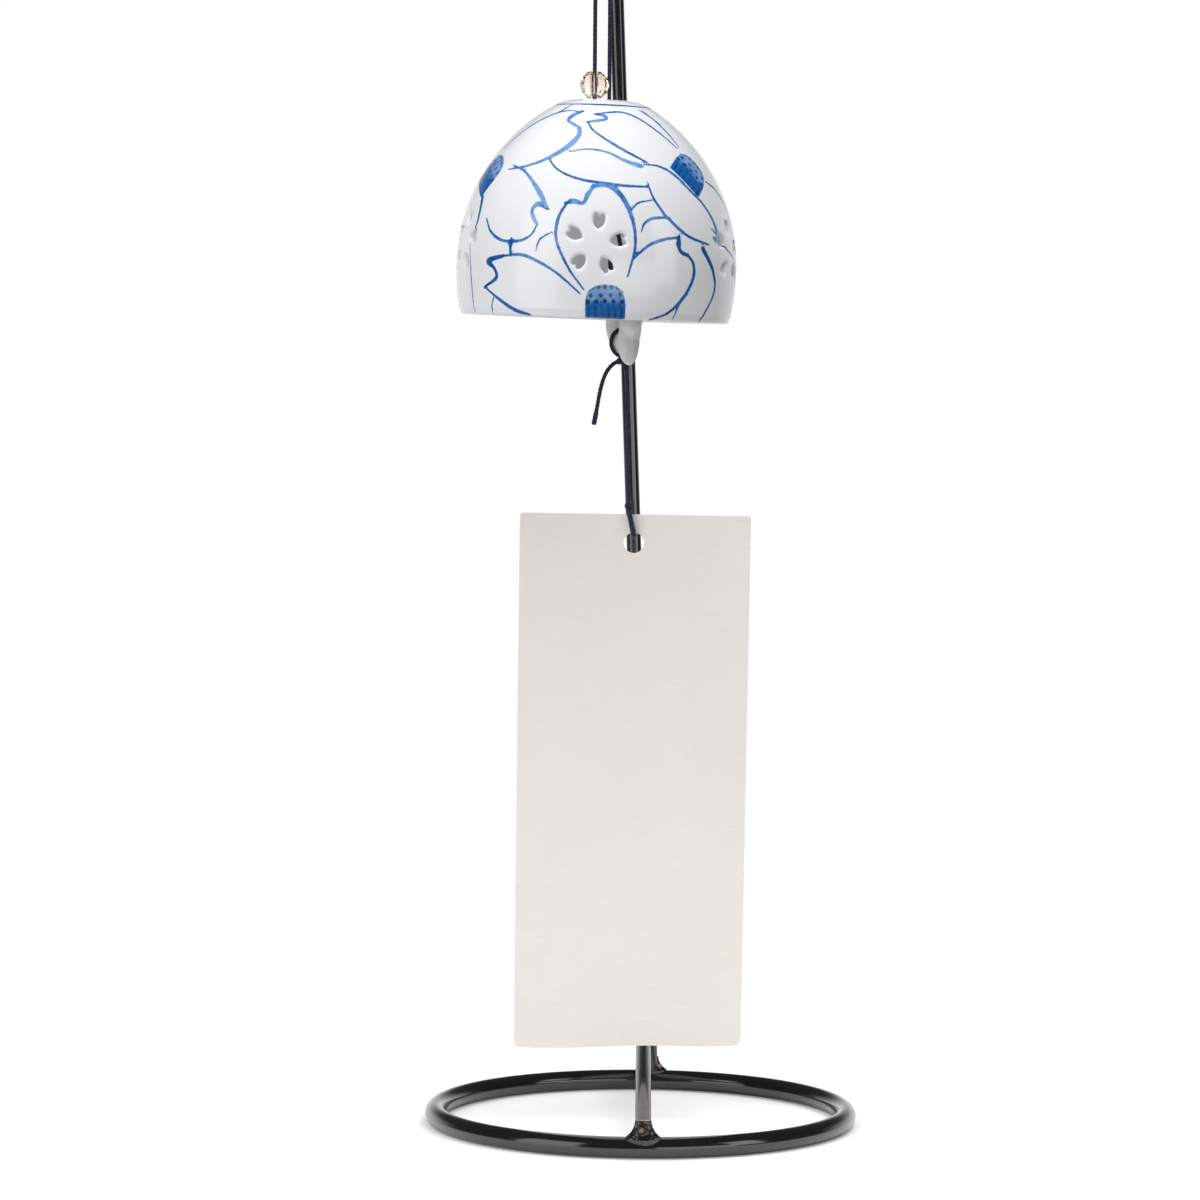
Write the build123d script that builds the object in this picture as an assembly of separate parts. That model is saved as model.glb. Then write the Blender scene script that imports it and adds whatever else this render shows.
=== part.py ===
from build123d import *
import os
from math import asin, cos, degrees, pi, radians, sin, tan

# A porcelain wind bell hung on a wire stand. Millimetres, +Z up, +Y away from the viewer.
# The origin is the centre of the base ring, on the table.

# Base ring
ring_outer_diameter = 112.5
ring_wire = 5.5
ring_ground = 0.25

# Upright with its crook and hook
post_wire = 4.0
post_offset = 1.8
upright_lean = 2.29
hook_height = 303.0
hook_x = -12.1
hook_y = 0.0
hook_turn = 48.0
hook_bend = 5.5
hook_tip_rise = 8.5
hook_tip_round = 1.2
crook_rise = 33.0
crook_roundness = 0.49

# Brace from the front of the ring to the upright
brace_rise = 5.0
brace_swing = -2.2
brace_overhang = 1.0

# Welds
weld_spread = 4.6
weld_height = 4.4
weld_depth = 2.3
weld_collar = 1.6
weld_collar_length = 3.2

# Cords
cord = 1.2
cord_clearance = 0.15
loop_drop = 37.3

# Bead on the left strand
bead_diameter = 7.7
bead_height = 6.8
bead_table = 3.4
bead_shoulder = 6.4
bead_shoulder_height = 2.1
bead_sides = 10
bead_bore = 1.6
bead_seat_gap = 0.4

# Bell shell
bell_diameter = 72.4
mouth_diameter = 69.6
widest_height = 13.4
bell_height = 56.4
crown_diameter = 18.8
wall = 2.8
crown_thickness = 3.2
lip_round = 1.2
crown_round = 12.0
bell_tilt = 1.9
crown_shift = 0.35
crown_hole = 2.2

# Pierced flowers
flower_count = 5
flower_height = 18.6
flower_radius = 5.75
flower_turn = -6.0
flower_start = -89.0
petal_count = 5
petal_width = 3.1
petal_length = 3.8

# Stopper knot under the crown
knot_diameter = 5.8
knot_seat_gap = 0.05
knot_shift = 1.05

# Clapper link and the cord that carries it
clapper_drop = 35.7
clapper_lean = 6.6
clapper_length = 26.3
clapper_foot_lean = 2.7
clapper_wire = 5.8
clapper_link_width = 10.0
clapper_turn = 68.0
tongue_width = 6.2
tongue_length = 11.2
tongue_rise = -0.3
tongue_shift = 4.3

# Paper strip, with the tie in its hole
strip_width = 60.0
strip_length = 140.5
strip_thickness = 0.3
strip_tilt = 0.45
strip_drop = 44.5
strip_shift = 3.25
strip_hole = 5.3
strip_hole_drop = 7.4
strip_hole_shift = -0.3
tie_shift = 1.8
tie_knot = 2.7
tie_gap = 0.3

# Values worked out from the driving dimensions
ring_z = ring_wire / 2 - ring_ground
ring_radius = (ring_outer_diameter - ring_wire) / 2
ring_top = ring_z + ring_wire / 2
loop_radius = post_wire / 2 + cord / 2 + cord_clearance
strand_dir = Vector(cos(radians(hook_turn)), sin(radians(hook_turn)), 0)
hook_dir = Vector(sin(radians(hook_turn)), -cos(radians(hook_turn)), 0)
hook_seat = Vector(hook_x, hook_y, hook_height)
upright_dir = Vector(-tan(radians(upright_lean)), 0, 1).normalized()
upright_foot = Vector(post_offset, ring_radius, ring_z)
crown_z = hook_height - loop_drop
crown_centre = Vector(hook_x + crown_shift, hook_y, crown_z)
bell_place = Pos(crown_centre) * Rot(0, bell_tilt, 0) * Pos(0, 0, -bell_height)
knot_drop = crown_thickness + knot_diameter / 2 + knot_seat_gap
knot_centre = (bell_place * Pos(knot_shift, 0, bell_height - knot_drop)).position
clapper_section = clapper_wire / 2
wrap_radius = clapper_section + cord / 2 + cord_clearance
clapper_top = knot_centre + Vector(tan(radians(clapper_lean)) * clapper_drop, 0, -clapper_drop)
clapper_axis = Vector(-sin(radians(clapper_foot_lean)), 0, cos(radians(clapper_foot_lean)))
clapper_foot = clapper_top - clapper_axis * (clapper_length - clapper_wire)
link_dir = Vector(cos(radians(clapper_turn)), -sin(radians(clapper_turn)), 0)
link_across = clapper_axis.cross(link_dir).normalized()
link_along = link_across.cross(clapper_axis)
strip_top = Vector(clapper_foot.X + strip_shift, clapper_foot.Y, clapper_foot.Z - strip_drop)


def tube(path, diameter):
    """A round wire or cord along a path."""
    start = Plane(origin=path @ 0, z_dir=path % 0)
    return sweep(start * Circle(diameter / 2), path=path)


def rod(start, end, diameter):
    """A straight round wire between two points."""
    axis = end - start
    return Plane(origin=start, z_dir=axis.normalized()) * Cylinder(
        diameter / 2, axis.length, align=(Align.CENTER, Align.CENTER, Align.MIN)
    )


def along(start, axis, step):
    """The point that lies a step from start along an axis."""
    return start + axis.normalized() * step


def limp_radii(points, share=0.45):
    """For each corner of a cord's route, the largest arc that its two runs leave room for."""
    radii = []
    for before, corner, after in zip(points, points[1:], points[2:]):
        incoming = corner - before
        outgoing = after - corner
        turn = incoming.get_angle(outgoing)
        run = min(incoming.length, outgoing.length)
        radii.append(share * run / tan(radians(turn) / 2))
    return radii


def base_ring():
    """The ring of thick wire, ground flat where it stands on the table."""
    ring = Pos(0, 0, ring_z) * Torus(ring_radius, ring_wire / 2)
    below = Pos(0, 0, -ring_wire / 2) * Box(2 * ring_outer_diameter, 2 * ring_outer_diameter, ring_wire)
    return ring - below


def upright_path():
    """Up from the back of the ring, forward over the crook and down into the hook."""
    crook_z = hook_height + crook_rise
    climb = (crook_z - upright_foot.Z) / upright_dir.Z
    crook_back = upright_foot + upright_dir * climb
    drop = hook_seat - hook_dir * hook_bend
    crook_front = Vector(drop.X, drop.Y, crook_z)
    tip = hook_seat + hook_dir * hook_bend
    tip_end = tip + Vector(0, 0, hook_tip_rise)
    crook_radius = crook_roundness * (crook_front - crook_back).length
    bend_radius = 2 * crook_roundness * hook_bend
    points = [upright_foot, crook_back, crook_front, drop, tip, tip_end]
    return FilletPolyline(*points, radius=[crook_radius, crook_radius, bend_radius, bend_radius])


def upright(ring):
    """The bent wire, its foot shaped to the ring and its tip rounded."""
    path = upright_path()
    wire = tube(path, post_wire)
    tip_face = wire.faces().sort_by(lambda face: (face.center() - path @ 1).length)[0]
    return fillet(tip_face.edges(), hook_tip_round) - ring


def brace_ends():
    """Where the brace lies on the ring, and where its axis meets the upright's axis plane."""
    rise = tan(radians(brace_rise))
    rest_z = ring_top + post_wire / 2 / cos(radians(brace_rise))
    start = Vector(post_offset, -ring_radius - brace_overhang, rest_z - rise * brace_overhang)
    reach = 2 * ring_radius + brace_overhang
    end = start + Vector(brace_swing, reach, rise * reach)
    return start, end


def front_brace(post):
    """The low wire from the ring to the upright, its end shaped to the upright."""
    start, end = brace_ends()
    return max((rod(start, end, post_wire) - post).solids(), key=lambda s: s.volume)


def weld_flanks(plane, spread, half):
    """A mound with hollow flanks in one plane, run through to both sides."""
    top = ring_top + weld_height
    edge = ring_top - weld_height / 4
    hollow = (half + (spread - half) * 0.3, ring_top + weld_height * 0.3)
    with BuildSketch(plane) as mound:
        with BuildLine():
            Line((-spread, ring_z), (spread, ring_z))
            Line((spread, ring_z), (spread, edge))
            ThreePointArc((spread, edge), hollow, (half, top))
            Line((half, top), (-half, top))
            ThreePointArc((-half, top), (-hollow[0], hollow[1]), (-spread, edge))
            Line((-spread, edge), (-spread, ring_z))
        make_face()
    return extrude(mound.sketch, amount=2 * weld_spread, both=True)


def weld_bead(y):
    """A hand-laid weld on top of the ring, before it is cut to its wires."""
    half = 0.6 * post_wire
    bead = weld_flanks(Plane.XZ, weld_spread, half) & weld_flanks(Plane.YZ, weld_depth, 0.5 * post_wire)
    return Pos(post_offset, y, 0) * bead


def weld_back(ring, post):
    """The weld at the foot of the upright."""
    return weld_bead(ring_radius) - ring - post


def weld_front(ring, brace):
    """The weld over the front end of the brace."""
    return weld_bead(-ring_radius) - ring - brace


def weld_brace(post, brace):
    """A collar of weld where the brace meets the upright."""
    start, end = brace_ends()
    axis = (end - start).normalized()
    collar = Plane(origin=end, z_dir=-axis) * Cone(
        post_wire / 2 + weld_collar,
        post_wire / 2 + weld_collar / 4,
        post_wire / 2 + weld_collar_length,
        align=(Align.CENTER, Align.CENTER, Align.MIN),
    )
    kept = (collar - post - brace).solids()
    return min(kept, key=lambda s: (s.center() - start).length)


def hanging_loop():
    """The cord up from the left crown hole, over the hook and down into the right one."""
    left = hook_seat - strand_dir * loop_radius
    right = hook_seat + strand_dir * loop_radius
    top = Vector(0, 0, loop_radius)
    down = Vector(0, 0, -loop_drop - crown_thickness / 2)
    points = [left + down, left + top, right + top, right + down]
    turn = 2 * crook_roundness * loop_radius
    print("hanging_loop radii", [round(turn, 2)] * 2)
    return tube(FilletPolyline(*points, radius=turn), cord)


def crystal_bead():
    """A round bead cut in flat facets, threaded on the left strand above the crown."""
    levels = [
        (-bead_height / 2, bead_table, 0),
        (-bead_shoulder_height, bead_shoulder, 0),
        (0, bead_diameter, 1),
        (bead_shoulder_height, bead_shoulder, 0),
        (bead_height / 2, bead_table, 0),
    ]
    half_step = 180 / bead_sides
    rings = []
    for height, width, stagger in levels:
        ring = Pos(0, 0, height) * Rot(0, 0, half_step * stagger) * RegularPolygon(width / 2, bead_sides)
        rings.append(ring)
    left = hook_seat - strand_dir * loop_radius
    seat_z = crown_z + sin(radians(bell_tilt)) * (crown_centre.X - left.X)
    centre_z = seat_z + bead_seat_gap + bead_height / 2
    bead = loft(rings, ruled=True) - Cylinder(bead_bore / 2, 2 * bead_height)
    return Pos(left.X, left.Y, centre_z) * bead


def bell_profile():
    """Half section of the shell: two tangent arcs up to a flat crown with a rounded edge."""
    widest = bell_diameter / 2
    inset = widest - mouth_diameter / 2
    wall_radius = (widest_height**2 + inset**2) / (2 * inset)
    wall_centre = (widest - wall_radius, widest_height)
    rise = bell_height - widest_height
    reach = widest - crown_diameter / 2
    dome_radius = (rise**2 + reach**2) / (2 * reach)
    dome_centre = (widest - dome_radius, widest_height)

    def half_outline(skin, top):
        """The two arcs at a depth of skin below the outer face, up to a height."""
        lower = wall_radius - skin
        upper = dome_radius - skin
        wall_sweep = degrees(asin(widest_height / lower))
        dome_sweep = degrees(asin((top - widest_height) / upper))
        return [
            CenterArc(wall_centre, lower, -wall_sweep, wall_sweep),
            CenterArc(dome_centre, upper, 0, dome_sweep),
        ]

    outer = half_outline(0, bell_height)
    inner = half_outline(wall, bell_height - crown_thickness)
    outer_edge = outer[1] @ 1
    inner_edge = inner[1] @ 1
    edges = outer + inner
    edges.append(Line(outer_edge, (0, bell_height)))
    edges.append(Line((0, bell_height), (0, bell_height - crown_thickness)))
    edges.append(Line((0, bell_height - crown_thickness), inner_edge))
    edges.append(Line(inner[0] @ 0, outer[0] @ 0))
    face = make_face(edges)
    lips = face.vertices().filter_by(lambda v: abs(v.Y) < 0.01)
    face = fillet(lips, lip_round)
    crown_edge = face.vertices().sort_by_distance(outer_edge)[0]
    return fillet(crown_edge, crown_round)


def petal():
    """A heart, its notch towards +Y and its point towards -Y."""
    half = petal_width / 2
    point = (0, -petal_length / 2)
    notch = (0, petal_length * 0.3)
    lobe_top = petal_length / 2
    side = petal_length * 0.12
    edges = []
    for hand in (1, -1):
        shoulder = (hand * half, side)
        edges.append(ThreePointArc(point, (hand * half * 0.72, -petal_length * 0.2), shoulder))
        edges.append(ThreePointArc(shoulder, (hand * half * 0.62, lobe_top), notch))
    return make_face(edges)


def pierced_flower(azimuth):
    """Five hearts round a centre, cut outwards through the wall at one side of the bell."""
    angle = radians(azimuth)
    side = Plane(
        origin=(0, 0, flower_height),
        x_dir=(-sin(angle), cos(angle), 0),
        z_dir=(cos(angle), sin(angle), 0),
    )
    hearts = []
    for number in range(petal_count):
        turn = flower_turn + number * 360 / petal_count
        heart = side * Rot(0, 0, turn) * Pos(0, flower_radius, 0) * petal()
        hearts.append(extrude(heart, amount=bell_diameter, dir=side.z_dir))
    return hearts


def bell_shell():
    """The porcelain shell, pierced with flowers and with two holes in its crown."""
    shell = revolve(Plane.XZ * bell_profile(), axis=Axis.Z)
    for number in range(flower_count):
        shell -= pierced_flower(flower_start + number * 360 / flower_count)
    shell = bell_place * shell
    for hand in (-1, 1):
        strand = hook_seat + strand_dir * hand * loop_radius
        shell -= Pos(strand.X, strand.Y, crown_z) * Cylinder(crown_hole / 2, 4 * crown_thickness)
    return shell


def crown_knot():
    """The stopper knot that holds the shell up from inside."""
    return Pos(knot_centre) * Sphere(knot_diameter / 2)


def wrap(centre):
    """The turn of cord round one end of the clapper."""
    return Plane(origin=centre, z_dir=link_along) * Torus(wrap_radius, cord / 2)


def clapper_cord():
    """The cord from the stopper knot down to its turn round the top of the clapper."""
    hang = clapper_top - knot_centre
    start = along(knot_centre, hang, knot_diameter / 2 + tie_gap)
    end = along(clapper_top, -hang, wrap_radius)
    return rod(start, end, cord) + wrap(clapper_top)


def clapper():
    """A long link of rolled clay, with a pressed tongue at the foot of its near side."""
    half = clapper_link_width / 2
    straight = clapper_length - clapper_wire - clapper_link_width
    place = Plane(origin=clapper_foot, x_dir=link_along, z_dir=clapper_axis).location
    bend = Rot(90, 0, 0) * Torus(half, clapper_section)
    room = clapper_length
    lower_half = Pos(0, 0, -room / 2) * Box(room, room, room)
    upper_half = Pos(0, 0, room / 2) * Box(room, room, room)
    link = Pos(0, 0, half) * (bend & lower_half) + Pos(0, 0, half + straight) * (bend & upper_half)
    for hand in (-1, 1):
        link += Pos(hand * half, 0, half + straight / 2) * Cylinder(clapper_section, straight)
    outline = [
        EllipticalCenterArc((0, 0), tongue_width / 2, tongue_length / 2, start_angle=-90, arc_size=180),
        Line((0, -tongue_length / 2), (0, tongue_length / 2)),
    ]
    tongue = revolve(Plane.XZ * make_face(outline), axis=Axis.Z)
    link += Pos(tongue_shift, 0, tongue_rise) * tongue
    return place * link


def foot_knot():
    """The centre of the knot under the foot of the clapper."""
    return clapper_foot + Vector(-0.9, 0.35, -1.27 * wrap_radius)


def tail_route():
    """The loose tail, from its cut end up to the knot."""
    steps = [(-7.7, -1.4, -21.2), (-6.9, -1.3, -17.0), (-6.2, -1.2, -12.4), (-4.9, -0.9, -8.0), (-3.0, -0.3, -5.5)]
    return [clapper_foot + Vector(*step) for step in steps] + [foot_knot() - Vector(cord * 0.7, cord * 0.1, 0)]


def run_route():
    """The run from the knot down to the tie on the paper."""
    bend = clapper_foot + Vector(0.7, 0.4, -7.0)
    end = Vector(strip_top.X - tie_shift, strip_top.Y, strip_top.Z + tie_knot + tie_gap)
    return [foot_knot() + Vector(cord / 2, 0, -cord / 2), bend, end]


def strip_cord():
    """The cord tied round the clapper's foot, with its tail and its run to the paper."""
    knot = Pos(foot_knot()) * Rot(90, 0, 0) * Sphere(1.25 * cord)
    turns = [wrap(clapper_foot)]
    for name, points in (("tail", tail_route()), ("run", run_route())):
        radii = limp_radii(points)
        path = FilletPolyline(*points, radius=radii)
        body = tube(path, cord)
        print("strip_cord", name, "radii", [round(r, 2) for r in radii], "volume", round(body.volume, 2),
              "section times length", round(path.length * pi * cord**2 / 4, 2))
        turns.append(body)
    return knot + turns


def strip_tie():
    """The knot on the upper edge of the paper, with its loop through the hole."""
    side = strip_thickness / 2 + cord_clearance + cord / 2
    knot_at = Vector(strip_top.X - tie_shift, strip_top.Y, strip_top.Z + tie_knot / 2)
    hole_at = strip_hole_centre()
    sill = Vector(hole_at.X, hole_at.Y, hole_at.Z + strip_hole / 2 - cord / 2 - cord_clearance)
    out = Vector(0, side, 0)
    turn = 2 * crook_roundness * side
    path = FilletPolyline(knot_at - out, sill - out, sill + out, knot_at + out, radius=turn)
    return tube(path, cord) + Pos(knot_at) * Sphere(tie_knot / 2)


def strip_place():
    """The frame of the paper, at the middle of its upper edge."""
    return Pos(strip_top) * Rot(0, strip_tilt, 0)


def strip_hole_centre():
    """The centre of the punched hole."""
    return (strip_place() * Pos(strip_hole_shift, 0, -strip_hole_drop)).position


def paper_strip():
    """The paper, punched near its upper edge."""
    sheet = Pos(0, 0, -strip_length / 2) * Box(strip_width, strip_thickness, strip_length)
    punch = Pos(strip_hole_shift, 0, -strip_hole_drop) * Rot(90, 0, 0) * Cylinder(strip_hole / 2, strip_width)
    return strip_place() * (sheet - punch)


def main():
    ring = base_ring()
    post = upright(ring)
    brace = front_brace(post)
    pieces = {
        "base_ring": ring,
        "upright": post,
        "front_brace": brace,
        "weld_front": weld_front(ring, brace),
        "weld_back": weld_back(ring, post),
        "weld_brace": weld_brace(post, brace),
        "hanging_loop": hanging_loop(),
        "crystal_bead": crystal_bead(),
        "bell_shell": bell_shell(),
        "crown_knot": crown_knot(),
        "clapper_cord": clapper_cord(),
        "clapper": clapper(),
        "strip_cord": strip_cord(),
        "strip_tie": strip_tie(),
        "paper_strip": paper_strip(),
    }
    os.makedirs("parts", exist_ok=True)
    for name, piece in pieces.items():
        export_step(piece, f"parts/{name}.step")


main()
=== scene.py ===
"""Dresses the wind bell: modelled pieces, finishes, camera and stage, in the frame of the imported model."""

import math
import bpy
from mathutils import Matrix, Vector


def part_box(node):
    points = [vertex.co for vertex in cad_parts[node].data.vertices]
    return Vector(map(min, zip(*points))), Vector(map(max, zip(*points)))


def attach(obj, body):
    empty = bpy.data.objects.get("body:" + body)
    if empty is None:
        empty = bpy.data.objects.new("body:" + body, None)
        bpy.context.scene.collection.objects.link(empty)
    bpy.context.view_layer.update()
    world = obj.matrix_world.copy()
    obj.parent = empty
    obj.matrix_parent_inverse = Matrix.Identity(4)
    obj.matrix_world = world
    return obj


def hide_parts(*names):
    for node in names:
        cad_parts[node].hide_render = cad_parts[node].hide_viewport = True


bl_info = {
    "name": "Wind bell on a wire stand",
    "version": (1, 0, 0),
    "blender": (4, 5, 0),
    "location": "View3D > Sidebar > Wind Bell",
    "description": "Builds a porcelain wind bell with its cords, clapper, paper strip and wire stand",
    "category": "Object",
}

import bpy
import numpy as np
from bpy.props import FloatProperty, FloatVectorProperty, IntProperty, PointerProperty
from mathutils import Matrix, Vector

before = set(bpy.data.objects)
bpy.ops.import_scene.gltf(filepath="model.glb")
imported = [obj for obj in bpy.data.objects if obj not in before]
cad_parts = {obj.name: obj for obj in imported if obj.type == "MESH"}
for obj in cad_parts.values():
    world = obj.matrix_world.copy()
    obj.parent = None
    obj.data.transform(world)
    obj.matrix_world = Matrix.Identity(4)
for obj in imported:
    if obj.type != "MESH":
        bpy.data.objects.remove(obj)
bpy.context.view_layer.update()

MM = 0.001
FULL_TURN = 2 * math.pi
RIGHT_ANGLE = math.radians(90)
WIRE_SIDES = 28
BEND_STEPS = 20
PETALS = 5
FLOWERS_ASKEW = math.radians(1)
BRAID_STRANDS = 4
SENSOR_WIDTH = 36


def length(name, description, millimetres):
    """A size that a user may change, kept in metres."""
    metres = millimetres * MM
    return FloatProperty(name=name, description=description, default=metres, unit="LENGTH", precision=5)


def angle(name, description, degrees):
    """An angle that a user may change."""
    return FloatProperty(name=name, description=description, default=math.radians(degrees), subtype="ANGLE")


def place(name, description, millimetres):
    """A point in the row frame."""
    metres = [value * MM for value in millimetres]
    return FloatVectorProperty(name=name, description=description, default=metres, subtype="XYZ", precision=5)


def colour(name, description, rgb):
    """A linear colour that a user may change."""
    return FloatVectorProperty(name=name, description=description, default=rgb, subtype="COLOR", min=0, max=1)


class StandSettings(bpy.types.PropertyGroup):
    """Sizes and colours of the wire stand."""

    ring_radius: length("Ring radius", "Radius of the ring's wire centre", 53.5)
    ring_wire: length("Ring wire", "Diameter of the ring's wire", 5.5)
    ring_height: length("Ring height", "Height of the ring's wire centre", 2.5)
    post_wire: length("Post wire", "Diameter of the upright and the brace", 4.0)
    post_foot: place("Post foot", "Where the upright stands on the ring", (1.8, 53.5, 2.5))
    post_lean: angle("Post lean", "How far the upright leans to the left", 2.29)
    crook_top: length("Crook top", "Height of the crook's corners", 336.0)
    crook_bend: length("Crook bend", "Bend radius of the crook", 24.5)
    hook_seat: place("Hook seat", "Wire centre where the loop hangs", (-12.1, 0.0, 303.0))
    hook_turn: angle("Hook turn", "How far the hook is turned from the crook", 48.0)
    hook_bend: length("Hook bend", "Half width of the hook", 5.5)
    hook_tip_rise: length("Hook tip rise", "Height of the hook's tip above its seat", 8.5)
    brace_front: place("Brace front", "Front end of the brace", (1.8, -54.5, 7.17))
    brace_back: place("Brace back", "Back end of the brace", (-0.4, 53.0, 16.57))
    enamel: colour("Enamel", "Black enamel of the stand", (0.006, 0.006, 0.0065))
    primer: colour("Primer", "Primer that shows in the crater of the front weld", (0.42, 0.24, 0.17))


class BellSettings(bpy.types.PropertyGroup):
    """Sizes and colours of the porcelain shell."""

    crown_centre: place("Crown centre", "Middle of the flat crown", (-11.75, 0.0, 265.7))
    tilt: angle("Tilt", "How far the bell hangs askew", 1.9)
    height: length("Height", "Height of the shell", 56.4)
    mouth_radius: length("Mouth radius", "Outer radius at the mouth", 34.8)
    widest_radius: length("Widest radius", "Largest outer radius", 36.2)
    widest_height: length("Widest height", "Height of the largest radius above the mouth", 13.4)
    crown_radius: length("Crown radius", "Radius at which the dome would meet the crown", 9.4)
    wall: length("Wall", "Thickness of the wall", 2.8)
    crown_thickness: length("Crown thickness", "Thickness of the crown", 3.2)
    lip: length("Lip", "Rounding of the mouth's edges", 1.2)
    crown_round: length("Crown round", "Radius of the crown's rounded edge", 12.0)
    strand_offset: length("Strand offset", "Distance of each crown hole from the middle of the two", 2.75)
    crown_hole: length("Crown hole", "Diameter of the crown holes", 2.2)
    flower_height: length("Flower height", "Height of the pierced flowers above the mouth", 18.6)
    flower_radius: length("Flower radius", "Distance of the hearts from the middle of their flower", 5.75)
    flower_turn: angle("Flower turn", "Turn of each pierced flower", -6.0)
    flower_count: IntProperty(name="Flowers", description="Number of pierced flowers", default=5)
    heart_width: length("Heart width", "Width of a pierced heart", 3.1)
    heart_length: length("Heart length", "Length of a pierced heart", 3.8)
    soft_edge: length("Soft edge", "Rounding of the glaze at the pierced edges", 0.75)
    glaze: colour("Glaze", "White of the glazed porcelain", (0.855, 0.872, 0.905))
    cobalt_pale: colour("Pale cobalt", "Thin brush marks", (0.11, 0.31, 0.69))
    cobalt_mid: colour("Cobalt", "Full brush marks", (0.005, 0.115, 0.40))
    cobalt_deep: colour("Deep cobalt", "Dots and pooled ends", (0.001, 0.008, 0.07))


class CordSettings(bpy.types.PropertyGroup):
    """Sizes and colours of the braided cords."""

    diameter: length("Diameter", "Diameter of the braided cord", 1.2)
    braid_pitch: length("Braid pitch", "Length in which a strand goes once round", 4.4)
    wrap_radius: length("Wrap radius", "Radius of a turn of cord round the clapper", 3.65)
    knot_centre: place("Crown knot", "Stopper knot under the crown", (-10.904, 0.0, 259.519))
    clapper_top: place("Clapper top", "Where the clapper hangs in its cord", (-6.774, 0.0, 223.819))
    clapper_foot: place("Clapper foot", "Where the strip's cord is tied on", (-5.808, 0.0, 203.341))
    tie: place("Tie", "Where the strip's cord ends above the paper's tie", (-4.358, 0.0, 161.841))
    navy: colour("Navy", "Cord colour", (0.010, 0.014, 0.045))
    # Painted highlights: this paler navy stands for light caught on the cord's lifted fibres.
    navy_glints: colour("Navy glints", "Lit fibres of the cord", (0.045, 0.055, 0.115))


class BeadSettings(bpy.types.PropertyGroup):
    """Sizes and colour of the crystal bead."""

    diameter: length("Diameter", "Width of the bead", 7.7)
    height: length("Height", "Height of the bead", 6.8)
    bore: length("Bore", "Hole for the cord", 1.6)
    facets: IntProperty(name="Facets", description="Facets round the bead", default=10)
    tint: colour("Tint", "Colour of the crystal", (1.0, 0.965, 0.93))
    rim: colour("Rim", "Warm coating, strongest at the rim", (1.0, 0.84, 0.68))


class ClapperSettings(bpy.types.PropertyGroup):
    """Sizes and colour of the clay clapper."""

    turn: angle("Turn", "Turn of the clapper's link about the upright axis", 68.0)
    lean: angle("Lean", "Lean of the clapper", 2.7)
    length: length("Length", "Length of the link", 26.3)
    wire: length("Thickness", "Thickness of the rolled clay", 5.8)
    width: length("Width", "Width of the link between its limbs' centres", 10.0)
    clay: colour("Clay", "Unglazed clay", (0.90, 0.885, 0.85))


class StripSettings(bpy.types.PropertyGroup):
    """Sizes and colour of the paper strip."""

    top: place("Top", "Middle of the strip's upper edge", (-2.558, 0.0, 158.841))
    tilt: angle("Tilt", "How far the strip hangs askew", 0.45)
    width: length("Width", "Width of the strip", 60.0)
    length: length("Length", "Length of the strip", 140.5)
    thickness: length("Thickness", "Thickness of the paper", 0.3)
    hole: length("Hole", "Diameter of the punched hole", 5.3)
    hole_drop: length("Hole drop", "Hole centre below the upper edge", 7.4)
    hole_shift: length("Hole shift", "Hole centre from the middle", -0.3)
    paper: colour("Paper", "Off-white paper", (0.85, 0.818, 0.777))
    fibre: colour("Fibre", "Darker fibres in the paper", (0.75, 0.71, 0.65))


class StageSettings(bpy.types.PropertyGroup):
    """The camera and the pale floor."""

    camera: place("Camera", "Where the camera stands", (22.71, -1182.78, 201.0))
    yaw: angle("Yaw", "Turn of the camera to the right", -1.6611)
    pitch: angle("Pitch", "How far the camera looks down", 3.12)
    roll: angle("Roll", "Roll of the camera", 0.45)
    lens: FloatProperty(name="Lens", description="Focal length in mm", default=136.8, unit="CAMERA")
    floor: colour("Floor", "Pale floor", (0.86, 0.86, 0.86))


SETTINGS = {
    "windbell_stand": StandSettings,
    "windbell_bell": BellSettings,
    "windbell_cord": CordSettings,
    "windbell_bead": BeadSettings,
    "windbell_clapper": ClapperSettings,
    "windbell_strip": StripSettings,
    "windbell_stage": StageSettings,
}


# Selection and finishing


def deselect():
    """Leaves edit mode and selects nothing."""
    if bpy.context.object and bpy.context.object.mode != "OBJECT":
        bpy.ops.object.mode_set(mode="OBJECT")
    bpy.ops.object.select_all(action="DESELECT")


def pick(*objects):
    """Selects these objects alone, the first one active."""
    deselect()
    for obj in objects:
        obj.select_set(True)
    bpy.context.view_layer.objects.active = objects[0]
    return objects[0]


def named(name):
    """Names the object that was just added."""
    obj = bpy.context.object
    obj.name = name
    obj.data.name = name
    return obj


def settle(obj):
    """Puts an object's place, turn and scale into its mesh."""
    pick(obj)
    bpy.ops.object.transform_apply(location=True, rotation=True, scale=True)
    return obj


def edit(obj, select="SELECT"):
    """Enters edit mode with everything, or nothing, selected."""
    pick(obj)
    bpy.ops.object.mode_set(mode="EDIT")
    bpy.ops.mesh.select_mode(type="VERT")
    bpy.ops.mesh.select_all(action=select)


def edit_where(obj, test):
    """Enters edit mode with the vertices selected whose place passes a test."""
    edit(obj, "DESELECT")
    bpy.ops.object.mode_set(mode="OBJECT")
    for vertex in obj.data.vertices:
        vertex.select = bool(test(vertex.co))
    bpy.ops.object.mode_set(mode="EDIT")


def close_mesh(obj):
    """Merges doubles and turns the faces outwards."""
    edit(obj)
    bpy.ops.mesh.remove_doubles(threshold=1e-6)
    bpy.ops.mesh.normals_make_consistent(inside=False)
    bpy.ops.object.mode_set(mode="OBJECT")
    return obj


def join(objects):
    """Joins objects into the first one."""
    pick(*objects)
    bpy.ops.object.join()
    return bpy.context.object


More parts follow.
